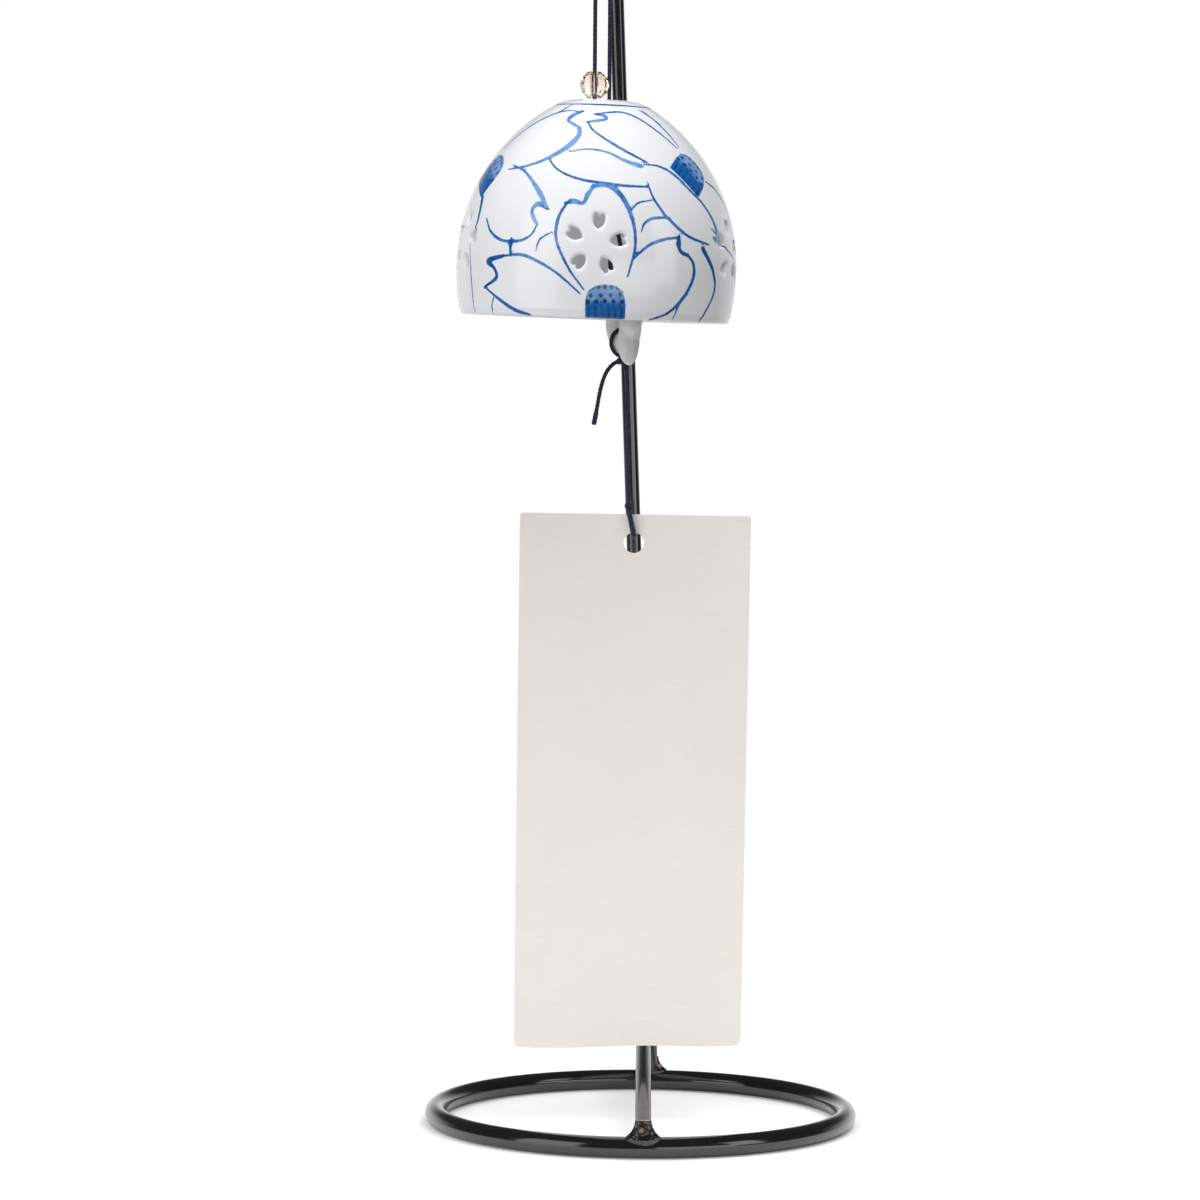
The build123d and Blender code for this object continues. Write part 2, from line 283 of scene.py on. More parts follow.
def apply_modifier(obj, kind, **values):
    """Adds a modifier, sets it and applies it."""
    modifier = obj.modifiers.new(kind.title(), kind)
    for name, value in values.items():
        setattr(modifier, name, value)
    pick(obj)
    bpy.ops.object.modifier_apply(modifier=modifier.name)
    return obj


def cut(obj, cutter):
    """Cuts one closed mesh out of another and removes the cutter."""
    apply_modifier(obj, "BOOLEAN", operation="DIFFERENCE", solver="MANIFOLD", object=cutter)
    bpy.data.objects.remove(cutter, do_unlink=True)
    return obj


def dress(obj, material, body, nodes=(), smooth=40.0):
    """Smooths a finished piece, gives it its material and lets it ride on its body."""
    settle(obj)
    if smooth is None:
        bpy.ops.object.shade_flat()
    else:
        bpy.ops.object.shade_smooth_by_angle(angle=math.radians(smooth))
    obj.data.materials.clear()
    obj.data.materials.append(material)
    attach(obj, body)
    if nodes:
        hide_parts(*nodes)
    return obj


# Shapes


def bent_wire(name, points, bends, wire):
    """A round wire, drawn straight and bent round at each corner."""
    points = [Vector(point) for point in points]
    heading = (points[1] - points[0]).normalized()
    turn = heading.to_track_quat("Z", "Y").to_euler()
    deselect()
    bpy.ops.mesh.primitive_circle_add(
        vertices=WIRE_SIDES, radius=wire / 2, fill_type="NGON", location=points[0], rotation=turn
    )
    obj = settle(named(name))
    edit(obj)
    at = points[0]
    for corner, after, bend in zip(points[1:], points[2:], bends):
        onward = (after - corner).normalized()
        swing = heading.angle(onward)
        start = corner - heading * (bend * math.tan(swing / 2))
        bpy.ops.mesh.extrude_region_move(TRANSFORM_OT_translate={"value": start - at})
        axis = heading.cross(onward).normalized()
        centre = start + axis.cross(heading) * bend
        bpy.ops.mesh.spin(steps=BEND_STEPS, angle=-swing, center=centre, axis=axis)
        at = corner + onward * (bend * math.tan(swing / 2))
        heading = onward
    bpy.ops.mesh.extrude_region_move(TRANSFORM_OT_translate={"value": points[-1] - at})
    bpy.ops.object.mode_set(mode="OBJECT")
    return close_mesh(obj)


def round_end(obj, end, wire, rounding):
    """Bevels the rim of a wire's end."""
    edit_where(obj, lambda co: (co - Vector(end)).length < wire * 0.51)
    bpy.ops.mesh.bevel(offset=rounding, segments=5, affect="EDGES")
    bpy.ops.object.mode_set(mode="OBJECT")
    return obj


def lump(centre, half_sizes):
    """One rounded lump of clay or weld metal."""
    deselect()
    bpy.ops.mesh.primitive_uv_sphere_add(
        segments=40, ring_count=24, radius=1, location=centre, scale=half_sizes
    )
    return settle(bpy.context.object)


def fuse(name, lumps, voxel, rounds):
    """One smooth skin over overlapping lumps."""
    obj = join(lumps)
    obj.name = name
    obj.data.name = name
    apply_modifier(obj, "REMESH", mode="VOXEL", voxel_size=voxel)
    apply_modifier(obj, "SMOOTH", factor=0.5, iterations=rounds)
    return obj


def roughen(obj, strength, size):
    """Moves the skin in and out a little, as a hand leaves it."""
    texture = bpy.data.textures.new(obj.name + "_relief", "CLOUDS")
    texture.noise_scale = size
    texture.noise_depth = 2
    apply_modifier(obj, "DISPLACE", texture=texture, strength=strength, mid_level=0.5, texture_coords="LOCAL")
    bpy.data.textures.remove(texture)
    return obj


def lathe(name, outline, steps):
    """Spins an outline of (radius, height) points about the upright axis."""
    deselect()
    bpy.ops.mesh.primitive_plane_add(size=MM)
    obj = named(name)
    edit(obj)
    bpy.ops.mesh.merge(type="CENTER")
    bpy.ops.transform.translate(value=(outline[0][0], 0, outline[0][1]))
    for before, after in zip(outline, outline[1:]):
        step = (after[0] - before[0], 0, after[1] - before[1])
        bpy.ops.mesh.extrude_vertices_move(TRANSFORM_OT_translate={"value": step})
    bpy.ops.mesh.select_all(action="SELECT")
    bpy.ops.mesh.spin(steps=steps, angle=FULL_TURN, center=(0, 0, 0), axis=(0, 0, 1))
    bpy.ops.object.mode_set(mode="OBJECT")
    return close_mesh(obj)


# Materials


def new_material(name):
    """A new material, its tree and its shader."""
    material = bpy.data.materials.new(name)
    material.use_nodes = True
    return material, material.node_tree, material.node_tree.nodes["Principled BSDF"]


def feed(tree, socket, value):
    """Links a socket to another socket, or sets it to a number, a vector or a colour."""
    if isinstance(value, bpy.types.NodeSocket):
        tree.links.new(value, socket)
    elif socket.type == "RGBA":
        socket.default_value = (*value[:3], 1)
    else:
        socket.default_value = value


def fill(tree, node, **values):
    """Feeds a node's sockets by name, with _ for each space."""
    for name, value in values.items():
        feed(tree, node.inputs[name.replace("_", " ")], value)


def add(tree, kind, **values):
    """Adds a node, sets its fields and feeds its sockets."""
    node = tree.nodes.new(kind)
    for name, value in values.items():
        if hasattr(node, name):
            setattr(node, name, value)
        else:
            fill(tree, node, **{name: value})
    return node


def ramp(tree, value, low, high, to_low=0.0, to_high=1.0, smooth=True):
    """Maps a value from one range to another."""
    sockets = {"Value": value, "From_Min": low, "From_Max": high, "To_Min": to_low, "To_Max": to_high}
    node = add(tree, "ShaderNodeMapRange", **sockets)
    node.interpolation_type = "SMOOTHSTEP" if smooth else "LINEAR"
    return node.outputs["Result"]


def spread(tree, noise, low, high, smooth=True):
    """Maps the usual range of a noise to another."""
    return ramp(tree, noise, 0.3, 0.7, low, high, smooth)


def mix(tree, factor, first, second):
    """Mixes two colours, each a colour or a socket."""
    node = add(tree, "ShaderNodeMix", data_type="RGBA")
    for number, value in ((0, factor), (6, first), (7, second)):
        feed(tree, node.inputs[number], value)
    return node.outputs[2]


def maths(tree, operation, first, second=0.0):
    """One sum on two values, each a number or a socket."""
    node = add(tree, "ShaderNodeMath", operation=operation)
    for socket, value in zip(node.inputs, (first, second)):
        feed(tree, socket, value)
    return node.outputs[0]


def choose(tree, flag, chosen, otherwise):
    """One of two values, as a flag of 1 or 0 says."""
    node = add(tree, "ShaderNodeMix", data_type="FLOAT")
    for number, value in ((0, flag), (2, otherwise), (3, chosen)):
        feed(tree, node.inputs[number], value)
    return node.outputs[0]


def bump(tree, shader, height, strength, distance):
    """Feeds a height into the shader's normal."""
    node = add(tree, "ShaderNodeBump", Strength=strength, Distance=distance, Height=height)
    fill(tree, shader, Normal=node.outputs["Normal"])


def object_coordinates(tree):
    """The piece's own coordinates, in metres."""
    return add(tree, "ShaderNodeTexCoord").outputs["Object"]


def surface_mottle():
    """Node group: broad cloudiness and fine grain on the piece's own coordinates."""
    group = bpy.data.node_groups.get("surface_mottle")
    if group:
        return group
    group = bpy.data.node_groups.new("surface_mottle", "ShaderNodeTree")
    for name in ("Cloud", "Grain"):
        group.interface.new_socket(name + " Scale", in_out="INPUT", socket_type="NodeSocketFloat")
        group.interface.new_socket(name, in_out="OUTPUT", socket_type="NodeSocketFloat")
    inlet = group.nodes.new("NodeGroupInput")
    outlet = group.nodes.new("NodeGroupOutput")
    coordinates = object_coordinates(group)
    for name, detail in (("Cloud", 3.0), ("Grain", 2.0)):
        noise = add(group, "ShaderNodeTexNoise", Detail=detail, Roughness=0.6, Vector=coordinates)
        fill(group, noise, Scale=inlet.outputs[name + " Scale"])
        fill(group, outlet, **{name: noise.outputs["Fac"]})
    return group


def mottle(tree, cloud, grain):
    """Places the mottle group with its own scales and returns its two values."""
    node = add(tree, "ShaderNodeGroup", node_tree=surface_mottle())
    fill(tree, node, Cloud_Scale=cloud, Grain_Scale=grain)
    return node.outputs["Cloud"], node.outputs["Grain"]


def enamel_material(name, settings, rough_low, rough_high, relief, primer_spot=None, gloss=1.0):
    """Gloss black enamel with a faint orange peel, and primer at one spot of a weld."""
    material, tree, shader = new_material(name)
    cloud, grain = mottle(tree, 240, 1600)
    worn = tuple(4.0 * channel for channel in settings.enamel)
    base = mix(tree, ramp(tree, grain, 0.62, 0.78), settings.enamel, worn)
    if primer_spot is not None:
        gap = add(tree, "ShaderNodeVectorMath", operation="DISTANCE")
        feed(tree, gap.inputs[0], object_coordinates(tree))
        feed(tree, gap.inputs[1], primer_spot)
        ragged = maths(tree, "ADD", gap.outputs["Value"], maths(tree, "MULTIPLY", grain, 2.2 * MM))
        base = mix(tree, ramp(tree, ragged, 1.55 * MM, 1.8 * MM, 1, 0), base, settings.primer)
    fill(tree, shader, Base_Color=base, Roughness=spread(tree, cloud, rough_low, rough_high))
    fill(tree, shader, Specular_IOR_Level=0.7 * gloss)
    fill(tree, shader, Coat_Weight=0.8 * gloss, Coat_Roughness=0.07, Coat_IOR=1.6)
    bump(tree, shader, cloud, 0.25, relief)
    return material


def porcelain_material(settings):
    """White glaze over cobalt brushwork, which the mesh carries as distances from each mark's edge."""
    material, tree, shader = new_material("painted_porcelain")
    marks = [add(tree, "ShaderNodeAttribute", attribute_name=name).outputs["Fac"] for name in UNPAINTED]
    line, side, half, patch, deep, tone = marks
    cloud, grain = mottle(tree, 420, 1500)
    crisp = maths(tree, "SUBTRACT", half, maths(tree, "ABSOLUTE", side))
    stroke = maths(tree, "MINIMUM", crisp, maths(tree, "ADD", line, 0.25))
    ink = maths(tree, "MAXIMUM", stroke, patch)
    ragged = maths(tree, "ADD", ink, spread(tree, grain, -0.07, 0.07, smooth=False))
    mark = ramp(tree, ragged, -0.10, 0.14)
    pooled = maths(tree, "ADD", tone, spread(tree, cloud, -0.16, 0.16, smooth=False))
    thin = mix(tree, ramp(tree, pooled, 0.1, 0.6), settings.cobalt_pale, settings.cobalt_mid)
    brushed = mix(tree, ramp(tree, pooled, 0.75, 1.25), thin, settings.cobalt_deep)
    dotted = mix(tree, ramp(tree, deep, -0.12, 0.14), brushed, settings.cobalt_deep)
    veil = maths(tree, "MULTIPLY", mark, ramp(tree, pooled, 0.0, 0.5, 0.86, 1.0))
    fill(tree, shader, Base_Color=mix(tree, veil, settings.glaze, dotted), IOR=1.5)
    fill(tree, shader, Roughness=spread(tree, cloud, 0.10, 0.16), Coat_Weight=0.25, Coat_Roughness=0.04)
    fill(tree, shader, Subsurface_Weight=0.08, Subsurface_Radius=(1, 1, 1), Subsurface_Scale=0.8 * MM)
    bump(tree, shader, cloud, 0.06, 0.05 * MM)
    return material


def cord_material(settings):
    """Dull navy yarn, with painted highlights: random lifted fibres are drawn paler, as if lit."""
    material, tree, shader = new_material("navy_braid")
    cloud, grain = mottle(tree, 900, 5200)
    # Painted highlights: random fibres take the paler, lit navy.
    base = mix(tree, ramp(tree, grain, 0.5, 0.75), settings.navy, settings.navy_glints)
    fill(tree, shader, Base_Color=base, Roughness=spread(tree, cloud, 0.55, 0.75))
    fill(tree, shader, Sheen_Weight=0.25, Sheen_Roughness=0.4)
    bump(tree, shader, grain, 0.5, 0.04 * MM)
    return material


def crystal_material(settings):
    """Clear cut crystal of a champagne tint."""
    material, tree, shader = new_material("champagne_crystal")
    fill(tree, shader, Base_Color=settings.tint, Roughness=0.0, Transmission_Weight=1.0, IOR=1.56)
    fill(tree, shader, Coat_Weight=0.3, Coat_Tint=settings.rim)
    return material


def clay_material(settings):
    """Unglazed clay, smooth from the hand, with fine grit."""
    material, tree, shader = new_material("bisque_clay")
    cloud, grain = mottle(tree, 180, 2400)
    shaded = tuple(0.84 * channel for channel in settings.clay)
    base = mix(tree, spread(tree, cloud, 0, 1), settings.clay, shaded)
    speck = mix(tree, ramp(tree, grain, 0.68, 0.78, 0, 0.35), base, (0.36, 0.32, 0.27))
    fill(tree, shader, Base_Color=speck, Roughness=spread(tree, cloud, 0.5, 0.68))
    bump(tree, shader, grain, 0.25, 0.05 * MM)
    return material


def paper_material(settings):
    """Off-white handmade paper with long fibres."""
    material, tree, shader = new_material("washi_paper")
    stretched = add(tree, "ShaderNodeMapping", Scale=(0.4, 1.0, 1.9), Vector=object_coordinates(tree))
    fill(tree, stretched, Rotation=(0, math.radians(6), 0))
    noise = add(tree, "ShaderNodeTexNoise", Scale=430, Detail=7.0, Roughness=0.62)
    fill(tree, noise, Vector=stretched.outputs["Vector"])
    crinkle = noise.outputs["Fac"]
    cloud, grain = mottle(tree, 60, 3200)
    toned = mix(tree, spread(tree, cloud, 0, 0.12), settings.paper, settings.fibre)
    base = mix(tree, ramp(tree, crinkle, 0.56, 0.74, 0, 0.4), toned, settings.fibre)
    fill(tree, shader, Base_Color=base, Roughness=spread(tree, grain, 0.82, 0.95), Specular_IOR_Level=0.2)
    relief = maths(tree, "ADD", crinkle, maths(tree, "MULTIPLY", grain, 0.35))
    bump(tree, shader, relief, 0.7, 0.14 * MM)
    return material


# The stand


def hook_directions(stand):
    """The wire's direction at the hook's seat, and the loop's direction across it."""
    along = Vector((math.sin(stand.hook_turn), -math.cos(stand.hook_turn), 0))
    across = Vector((math.cos(stand.hook_turn), math.sin(stand.hook_turn), 0))
    return along, across


class WINDBELL_OT_stand(bpy.types.Operator):
    """Model the ring, the upright with its hook, and the brace"""

    bl_idname = "windbell.stand"
    bl_label = "Stand"

    def execute(self, context):
        stand = context.scene.windbell_stand
        enamel = enamel_material("black_enamel", stand, 0.10, 0.20, 0.05 * MM)
        self.ring(stand, enamel)
        self.upright(stand, enamel)
        brace = bent_wire("brace_wire", [stand.brace_front, stand.brace_back], [], stand.post_wire)
        round_end(brace, stand.brace_front, stand.post_wire, 0.6 * MM)
        dull = enamel_material("black_enamel_brace", stand, 0.14, 0.26, 0.05 * MM, gloss=0.4)
        dress(brace, dull, "stand", ["front_brace"])
        return {"FINISHED"}

    def ring(self, stand, enamel):
        deselect()
        bpy.ops.mesh.primitive_torus_add(
            major_radius=stand.ring_radius,
            minor_radius=stand.ring_wire / 2,
            major_segments=224,
            minor_segments=36,
            location=(0, 0, stand.ring_height),
        )
        ring = settle(named("ring_wire"))
        edit_where(ring, lambda co: co.z < 0)
        bpy.ops.transform.resize(value=(1, 1, 0), center_override=(0, 0, 0))
        bpy.ops.object.mode_set(mode="OBJECT")
        dress(ring, enamel, "stand", ["base_ring"], smooth=50)

    def upright(self, stand, enamel):
        foot = Vector(stand.post_foot)
        seat = Vector(stand.hook_seat)
        along, _ = hook_directions(stand)
        climb = stand.crook_top - foot.z
        crook_back = foot + Vector((-math.tan(stand.post_lean) * climb, 0, climb))
        drop = seat - along * stand.hook_bend
        crook_front = Vector((drop.x, drop.y, stand.crook_top))
        tip = seat + along * stand.hook_bend
        end = tip + Vector((0, 0, stand.hook_tip_rise))
        bends = [stand.crook_bend] * 2 + [0.98 * stand.hook_bend] * 2
        corners = [foot, crook_back, crook_front, drop, tip, end]
        wire = bent_wire("upright_wire", corners, bends, stand.post_wire)
        round_end(wire, end, stand.post_wire, 1.2 * MM)
        dress(wire, enamel, "stand", ["upright"])


class WINDBELL_OT_welds(bpy.types.Operator):
    """Model the hand-laid welds of the stand"""

    bl_idname = "windbell.welds"
    bl_label = "Welds"

    def execute(self, context):
        stand = context.scene.windbell_stand
        self.front(stand)
        self.back(stand)
        self.brace(stand)
        return {"FINISHED"}

    def lumps(self, origin, sizes):
        made = []
        for offset, half in sizes:
            centre = Vector(origin) + Vector(offset) * MM
            made.append(lump(centre, [value * MM for value in half]))
        return made

    def flare(self, origin, outline, depth):
        """A bead of weld metal that runs out from a wire along the ring, flatter in depth than across."""
        flare = lathe("weld_flare", [(radius * MM, height * MM) for radius, height in outline], 64)
        flare.scale.y = depth
        flare.location = origin
        return settle(flare)

    def front(self, stand):
        ring_top = stand.ring_height + stand.ring_wire / 2
        origin = Vector((stand.post_foot[0], -stand.ring_radius - 0.6 * MM, ring_top))
        outline = [(0, 4.3), (2.0, 4.3), (2.15, 3.4), (2.5, 2.3), (3.2, 1.2), (4.2, 0.3), (4.7, -0.4)]
        outline += [(4.3, -1.2), (2.8, -2.3), (0, -2.8)]
        flare = self.flare(origin, outline, 0.56)
        deselect()
        bpy.ops.mesh.primitive_torus_add(
            major_radius=1.2 * MM,
            minor_radius=0.4 * MM,
            location=origin + Vector((-0.35, -1.45, 1.75)) * MM,
            rotation=(math.radians(70), 0, 0),
        )
        rim = bpy.context.object
        rim.scale.y = 0.75
        flecks = [((2.3, -2.0, -0.3), (0.55, 0.34, 0.34)), ((1.1, -2.3, -0.5), (0.5, 0.3, 0.24))]
        flecks += [((-3.7, -1.5, -0.5), (0.34, 0.4, 0.5)), ((4.0, -1.3, 0.1), (0.3, 0.4, 0.55))]
        flecks += [((0.9, -1.4, 3.1), (0.5, 0.34, 0.3)), ((-1.1, -1.6, 3.0), (0.45, 0.3, 0.34))]
        weld = fuse("front_weld", [flare, settle(rim)] + self.lumps(origin, flecks), 0.17 * MM, 2)
        cut(weld, lump(origin + Vector((-0.35, -1.85, 1.85)) * MM, [0.95 * MM, 0.75 * MM, 0.6 * MM]))
        roughen(weld, 0.34 * MM, 0.85 * MM)
        spot = origin + Vector((-0.55, -1.2, 1.95)) * MM
        finish = enamel_material("weld_enamel_front", stand, 0.08, 0.26, 0.12 * MM, spot)
        dress(weld, finish, "stand", ["weld_front"], smooth=60)

    def back(self, stand):
        origin = Vector((stand.post_foot[0], stand.ring_radius, stand.ring_height + stand.ring_wire / 2))
        outline = [(0, 3.8), (2.03, 3.8), (2.12, 3.0), (2.4, 2.1), (2.95, 1.3), (3.8, 0.6), (4.5, -0.1)]
        outline += [(4.5, -0.8), (3.2, -1.6), (0, -2)]
        weld = fuse("back_weld", [self.flare(origin, outline, 0.5)], 0.22 * MM, 3)
        roughen(weld, 0.14 * MM, 1.6 * MM)
        spot = origin + Vector((2.5, -1.1, 1.3)) * MM
        finish = enamel_material("weld_enamel", stand, 0.12, 0.3, 0.08 * MM, spot)
        dress(weld, finish, "stand", ["weld_back"], smooth=60)

    def brace(self, stand):
        origin = Vector(stand.brace_back) - Vector((-0.6 * MM, 1.6 * MM, 0.1 * MM))
        lumps = self.lumps(origin, [((0, 0, 0), (3.2, 1.5, 3.0)), ((0, -0.9, -0.1), (2.6, 1.6, 2.5))])
        weld = roughen(fuse("brace_weld", lumps, 0.25 * MM, 4), 0.3 * MM, 1.5 * MM)
        finish = enamel_material("weld_enamel_brace", stand, 0.16, 0.36, 0.12 * MM)
        dress(weld, finish, "stand", ["weld_brace"], smooth=60)


# The bell


class BellOutline:
    """The shell's half section in millimetres above the mouth: wall arc, dome arc and rounded crown."""

    def __init__(self, bell):
        self.height = bell.height / MM
        self.wall = bell.wall / MM
        self.crown_thickness = bell.crown_thickness / MM
        self.lip = bell.lip / MM
        self.crown_round = bell.crown_round / MM
        self.low = bell.widest_height / MM
        self.widest = bell.widest_radius / MM
        inset = self.widest - bell.mouth_radius / MM
        self.wall_radius = (self.low**2 + inset**2) / (2 * inset)
        rise = self.height - self.low
        reach = self.widest - bell.crown_radius / MM
        self.dome_radius = (rise**2 + reach**2) / (2 * reach)
        to_edge = self.dome_radius - self.crown_round
        self.steep = math.asin((rise - self.crown_round) / to_edge)
        self.flat = self.widest - self.dome_radius + to_edge * math.cos(self.steep)
        self.edge_start = self.low + self.dome_radius * math.sin(self.steep)

    def radius(self, height, skin=0.0):
        """Radius of the face at a depth of skin below the outside, for an array of heights."""
        height = np.asarray(height, float)

        def arc(centre, full, middle):
            return centre + np.sqrt(np.maximum(full**2 - (height - middle) ** 2, 0))

        below = arc(self.widest - self.wall_radius, self.wall_radius - skin, self.low)
        above = arc(self.widest - self.dome_radius, self.dome_radius - skin, self.low)
        edge = arc(self.flat, self.crown_round, self.height - self.crown_round)
        above = np.where((height > self.edge_start) & (skin == 0), edge, above)
        return np.where(height < self.low, below, above)

    def rounded(self, corner, before, after, rounding, count):
        """Points of an arc that rounds a corner between two directions."""
        corner, before, after = (np.asarray(value, float) for value in (corner, before, after))
        before = before / np.linalg.norm(before)
        after = after / np.linalg.norm(after)
        start = corner - before * rounding
        end = corner + after * rounding
        steps = np.linspace(0, 1, count)
        weights = np.stack([(1 - steps) ** 2, 2 * steps * (1 - steps), steps**2], axis=1)
        return [tuple(point) for point in weights @ np.stack([start, corner, end])]

    def points(self, spacing, inner_spacing):
        """The closed half section, from the axis under the crown round the lip to the top of the axis."""

        def steps(start, end, scale=1.0):
            return np.linspace(start, end, int((end - start) * scale / spacing), endpoint=False)

        ceiling = self.height - self.crown_thickness
        inside = np.linspace(ceiling, self.lip, int(ceiling / inner_spacing))
        dome = np.sin(steps(0, self.steep, self.dome_radius))
        edge = np.sin(steps(self.steep, math.pi / 2, self.crown_round))
        outside = [steps(self.lip, self.low)[1:], self.low + self.dome_radius * dome]
        outside = np.concatenate(outside + [self.height - self.crown_round * (1 - edge)])
        inner_edge = float(self.radius(ceiling, self.wall))
        line = [(radius, ceiling) for radius in np.linspace(0, inner_edge, 4)[:-1]]
        line += list(zip(self.radius(inside, self.wall), inside))[:-1]
        mouth_in = float(self.radius(0, self.wall))
        mouth_out = float(self.radius(0))
        line += self.rounded((mouth_in, 0), (0, -1), (1, 0), self.lip, 7)
        line += self.rounded((mouth_out, 0), (1, 0), (0, 1), self.lip, 7)
        line += list(zip(self.radius(outside), outside))
        line += [(radius, self.height) for radius in np.linspace(self.flat, 0, 5)]
        return [(float(radius) * MM, float(height) * MM) for radius, height in line]


def bell_matrix(bell):
    """Puts the bell's own frame, at the middle of its mouth, into the row frame."""
    lowered = Matrix.Translation((0, 0, -bell.height))
    return Matrix.Translation(bell.crown_centre) @ Matrix.Rotation(bell.tilt, 4, "Y") @ lowered


def heart_outline(width, height, count=12):
    """A heart, notch up and point down, as a closed list of points."""
    half = width / 2
    side = height * 0.12
    right = [(0, -height / 2)]
    corners = (
        ((0, -height / 2), (half * 0.95, -height * 0.28), (half, side)),
        ((half, side), (half * 0.98, height * 0.62), (half * 0.35, height * 0.5)),
        ((half * 0.35, height * 0.5), (half * 0.1, height * 0.46), (0, height * 0.3)),
    )
    for start, pull, end in corners:
        for step in np.linspace(0, 1, count // 2 + 1)[1:]:
            keep = ((1 - step) ** 2, 2 * step * (1 - step), step**2)
            right.append(tuple(sum(k * p[axis] for k, p in zip(keep, (start, pull, end))) for axis in (0, 1)))
    left = [(-x, y) for x, y in reversed(right[1:-1])]
    return right + left


class WINDBELL_OT_bell(bpy.types.Operator):
    """Model the pierced and painted porcelain shell"""

    bl_idname = "windbell.bell"
    bl_label = "Bell"

    def execute(self, context):
        bell = context.scene.windbell_bell
        outline = BellOutline(bell)
        shell = lathe("porcelain_shell", outline.points(0.48, 4.0), 500)
        cut(shell, self.heart_cutters(bell))
        self.soften(shell, bell, outline)
        paint_bell(shell, outline)
        shell.matrix_world = bell_matrix(bell)
        settle(shell)
        _, across = hook_directions(context.scene.windbell_stand)
        seat = Vector(context.scene.windbell_stand.hook_seat)
        for hand in (-1, 1):
            strand = seat + across * hand * bell.strand_offset
            deselect()
            bpy.ops.mesh.primitive_cylinder_add(
                vertices=40,
                radius=bell.crown_hole / 2,
                depth=4 * bell.crown_thickness,
                location=(strand.x, strand.y, bell.crown_centre[2]),
            )
            cut(shell, settle(bpy.context.object))
        dress(shell, porcelain_material(bell), "bell", ["bell_shell"], smooth=89)
        return {"FINISHED"}

    def heart_cutters(self, bell):
        """All the hearts, each a prism that points out of the bell."""
        outline = heart_outline(bell.heart_width, bell.heart_length)
        deselect()
        half = bell.heart_width / 2
        bpy.ops.mesh.primitive_circle_add(vertices=len(outline), radius=half, fill_type="NGON")
        first = named("heart_cutter")
        for vertex, point in zip(first.data.vertices, outline):
            vertex.co = (point[0], point[1], 0.5 * bell.mouth_radius)
        edit(first)
        bpy.ops.mesh.extrude_region_move(TRANSFORM_OT_translate={"value": (0, 0, bell.mouth_radius)})
        bpy.ops.mesh.select_all(action="SELECT")
        bpy.ops.mesh.normals_make_consistent(inside=False)
        bpy.ops.object.mode_set(mode="OBJECT")
        cutters = []
        for flower in range(bell.flower_count):
            swing = Matrix.Rotation(flower_swing(bell, flower), 4, "Z")
            lift = Matrix.Translation((0, 0, bell.flower_height))
            upright = Matrix.Rotation(RIGHT_ANGLE, 4, "X")
            for turn in petal_turns(bell):
                petal = Matrix.Rotation(turn, 4, "Z")
                outward = Matrix.Translation((0, bell.flower_radius, 0))
                copy = first.copy()
                copy.data = first.data.copy()
                copy.data.transform(swing @ lift @ upright @ petal @ outward)
                context_collection().objects.link(copy)
                cutters.append(copy)
        bpy.data.objects.remove(first, do_unlink=True)
        return join(cutters)

    def soften(self, shell, bell, outline):
        """Draws the glaze in round each pierced heart, as it runs into the cut."""
        mesh = shell.data
        place = mesh_places(mesh)
        gap = distance_to_hearts(place / MM, bell)
        reach = bell.soft_edge / MM
        height = place[:, 2] / MM
        span = np.hypot(place[:, 0], place[:, 1]) / MM
        outer = np.abs(span - outline.radius(height)) < 0.05
        inner = np.abs(span - outline.radius(height, outline.wall)) < 0.05
        depth = reach - np.sqrt(np.maximum(reach**2 - np.clip(reach - gap, 0, reach) ** 2, 0))
        shift = np.where(outer, -depth, np.where(inner, 0.6 * depth, 0)) * MM
        scale = 1 + shift / np.maximum(span * MM, 1e-9)
        place[:, 0] *= scale
        place[:, 1] *= scale
        mesh.vertices.foreach_set("co", place.ravel())
        mesh.update()


def context_collection():
    """The collection that new objects go into."""
    return bpy.context.scene.collection


def flower_swing(bell, flower):
    """The turn about the bell's axis to one pierced flower."""
    return FULL_TURN * flower / bell.flower_count + FLOWERS_ASKEW


def petal_turns(bell):
    """The turns of a flower's hearts about its middle."""
    return [bell.flower_turn + FULL_TURN * petal / PETALS for petal in range(PETALS)]


def flower_chart(place, bell, flower):
    """Places in one pierced flower's flat plane in millimetres, and how far each is out from the axis."""
    turn = flower_swing(bell, flower)
    right = np.array([math.cos(turn), math.sin(turn)])
    out = np.array([math.sin(turn), -math.cos(turn)])
    across = place[:, :2] @ right
    up = place[:, 2] - bell.flower_height / MM
    return across, up, place[:, :2] @ out


def distance_to_hearts(place, bell):
    """Distance of each place from the nearest pierced edge, measured in its flower's plane."""
    nearest = np.full(len(place), 1e3)
    outline = np.array(heart_outline(bell.heart_width / MM, bell.heart_length / MM))
    for flower in range(bell.flower_count):
        across, up, out = flower_chart(place, bell, flower)
        near = np.where((out > 0) & (np.hypot(across, up) < 11))[0]
        for turn in petal_turns(bell):
            x = across[near] * math.cos(turn) + up[near] * math.sin(turn)
            y = -across[near] * math.sin(turn) + up[near] * math.cos(turn) - bell.flower_radius / MM
            gap, _, _ = distance_to_line(np.stack([x, y], axis=1), np.vstack([outline, outline[:1]]))
            nearest[near] = np.minimum(nearest[near], gap)
    return nearest


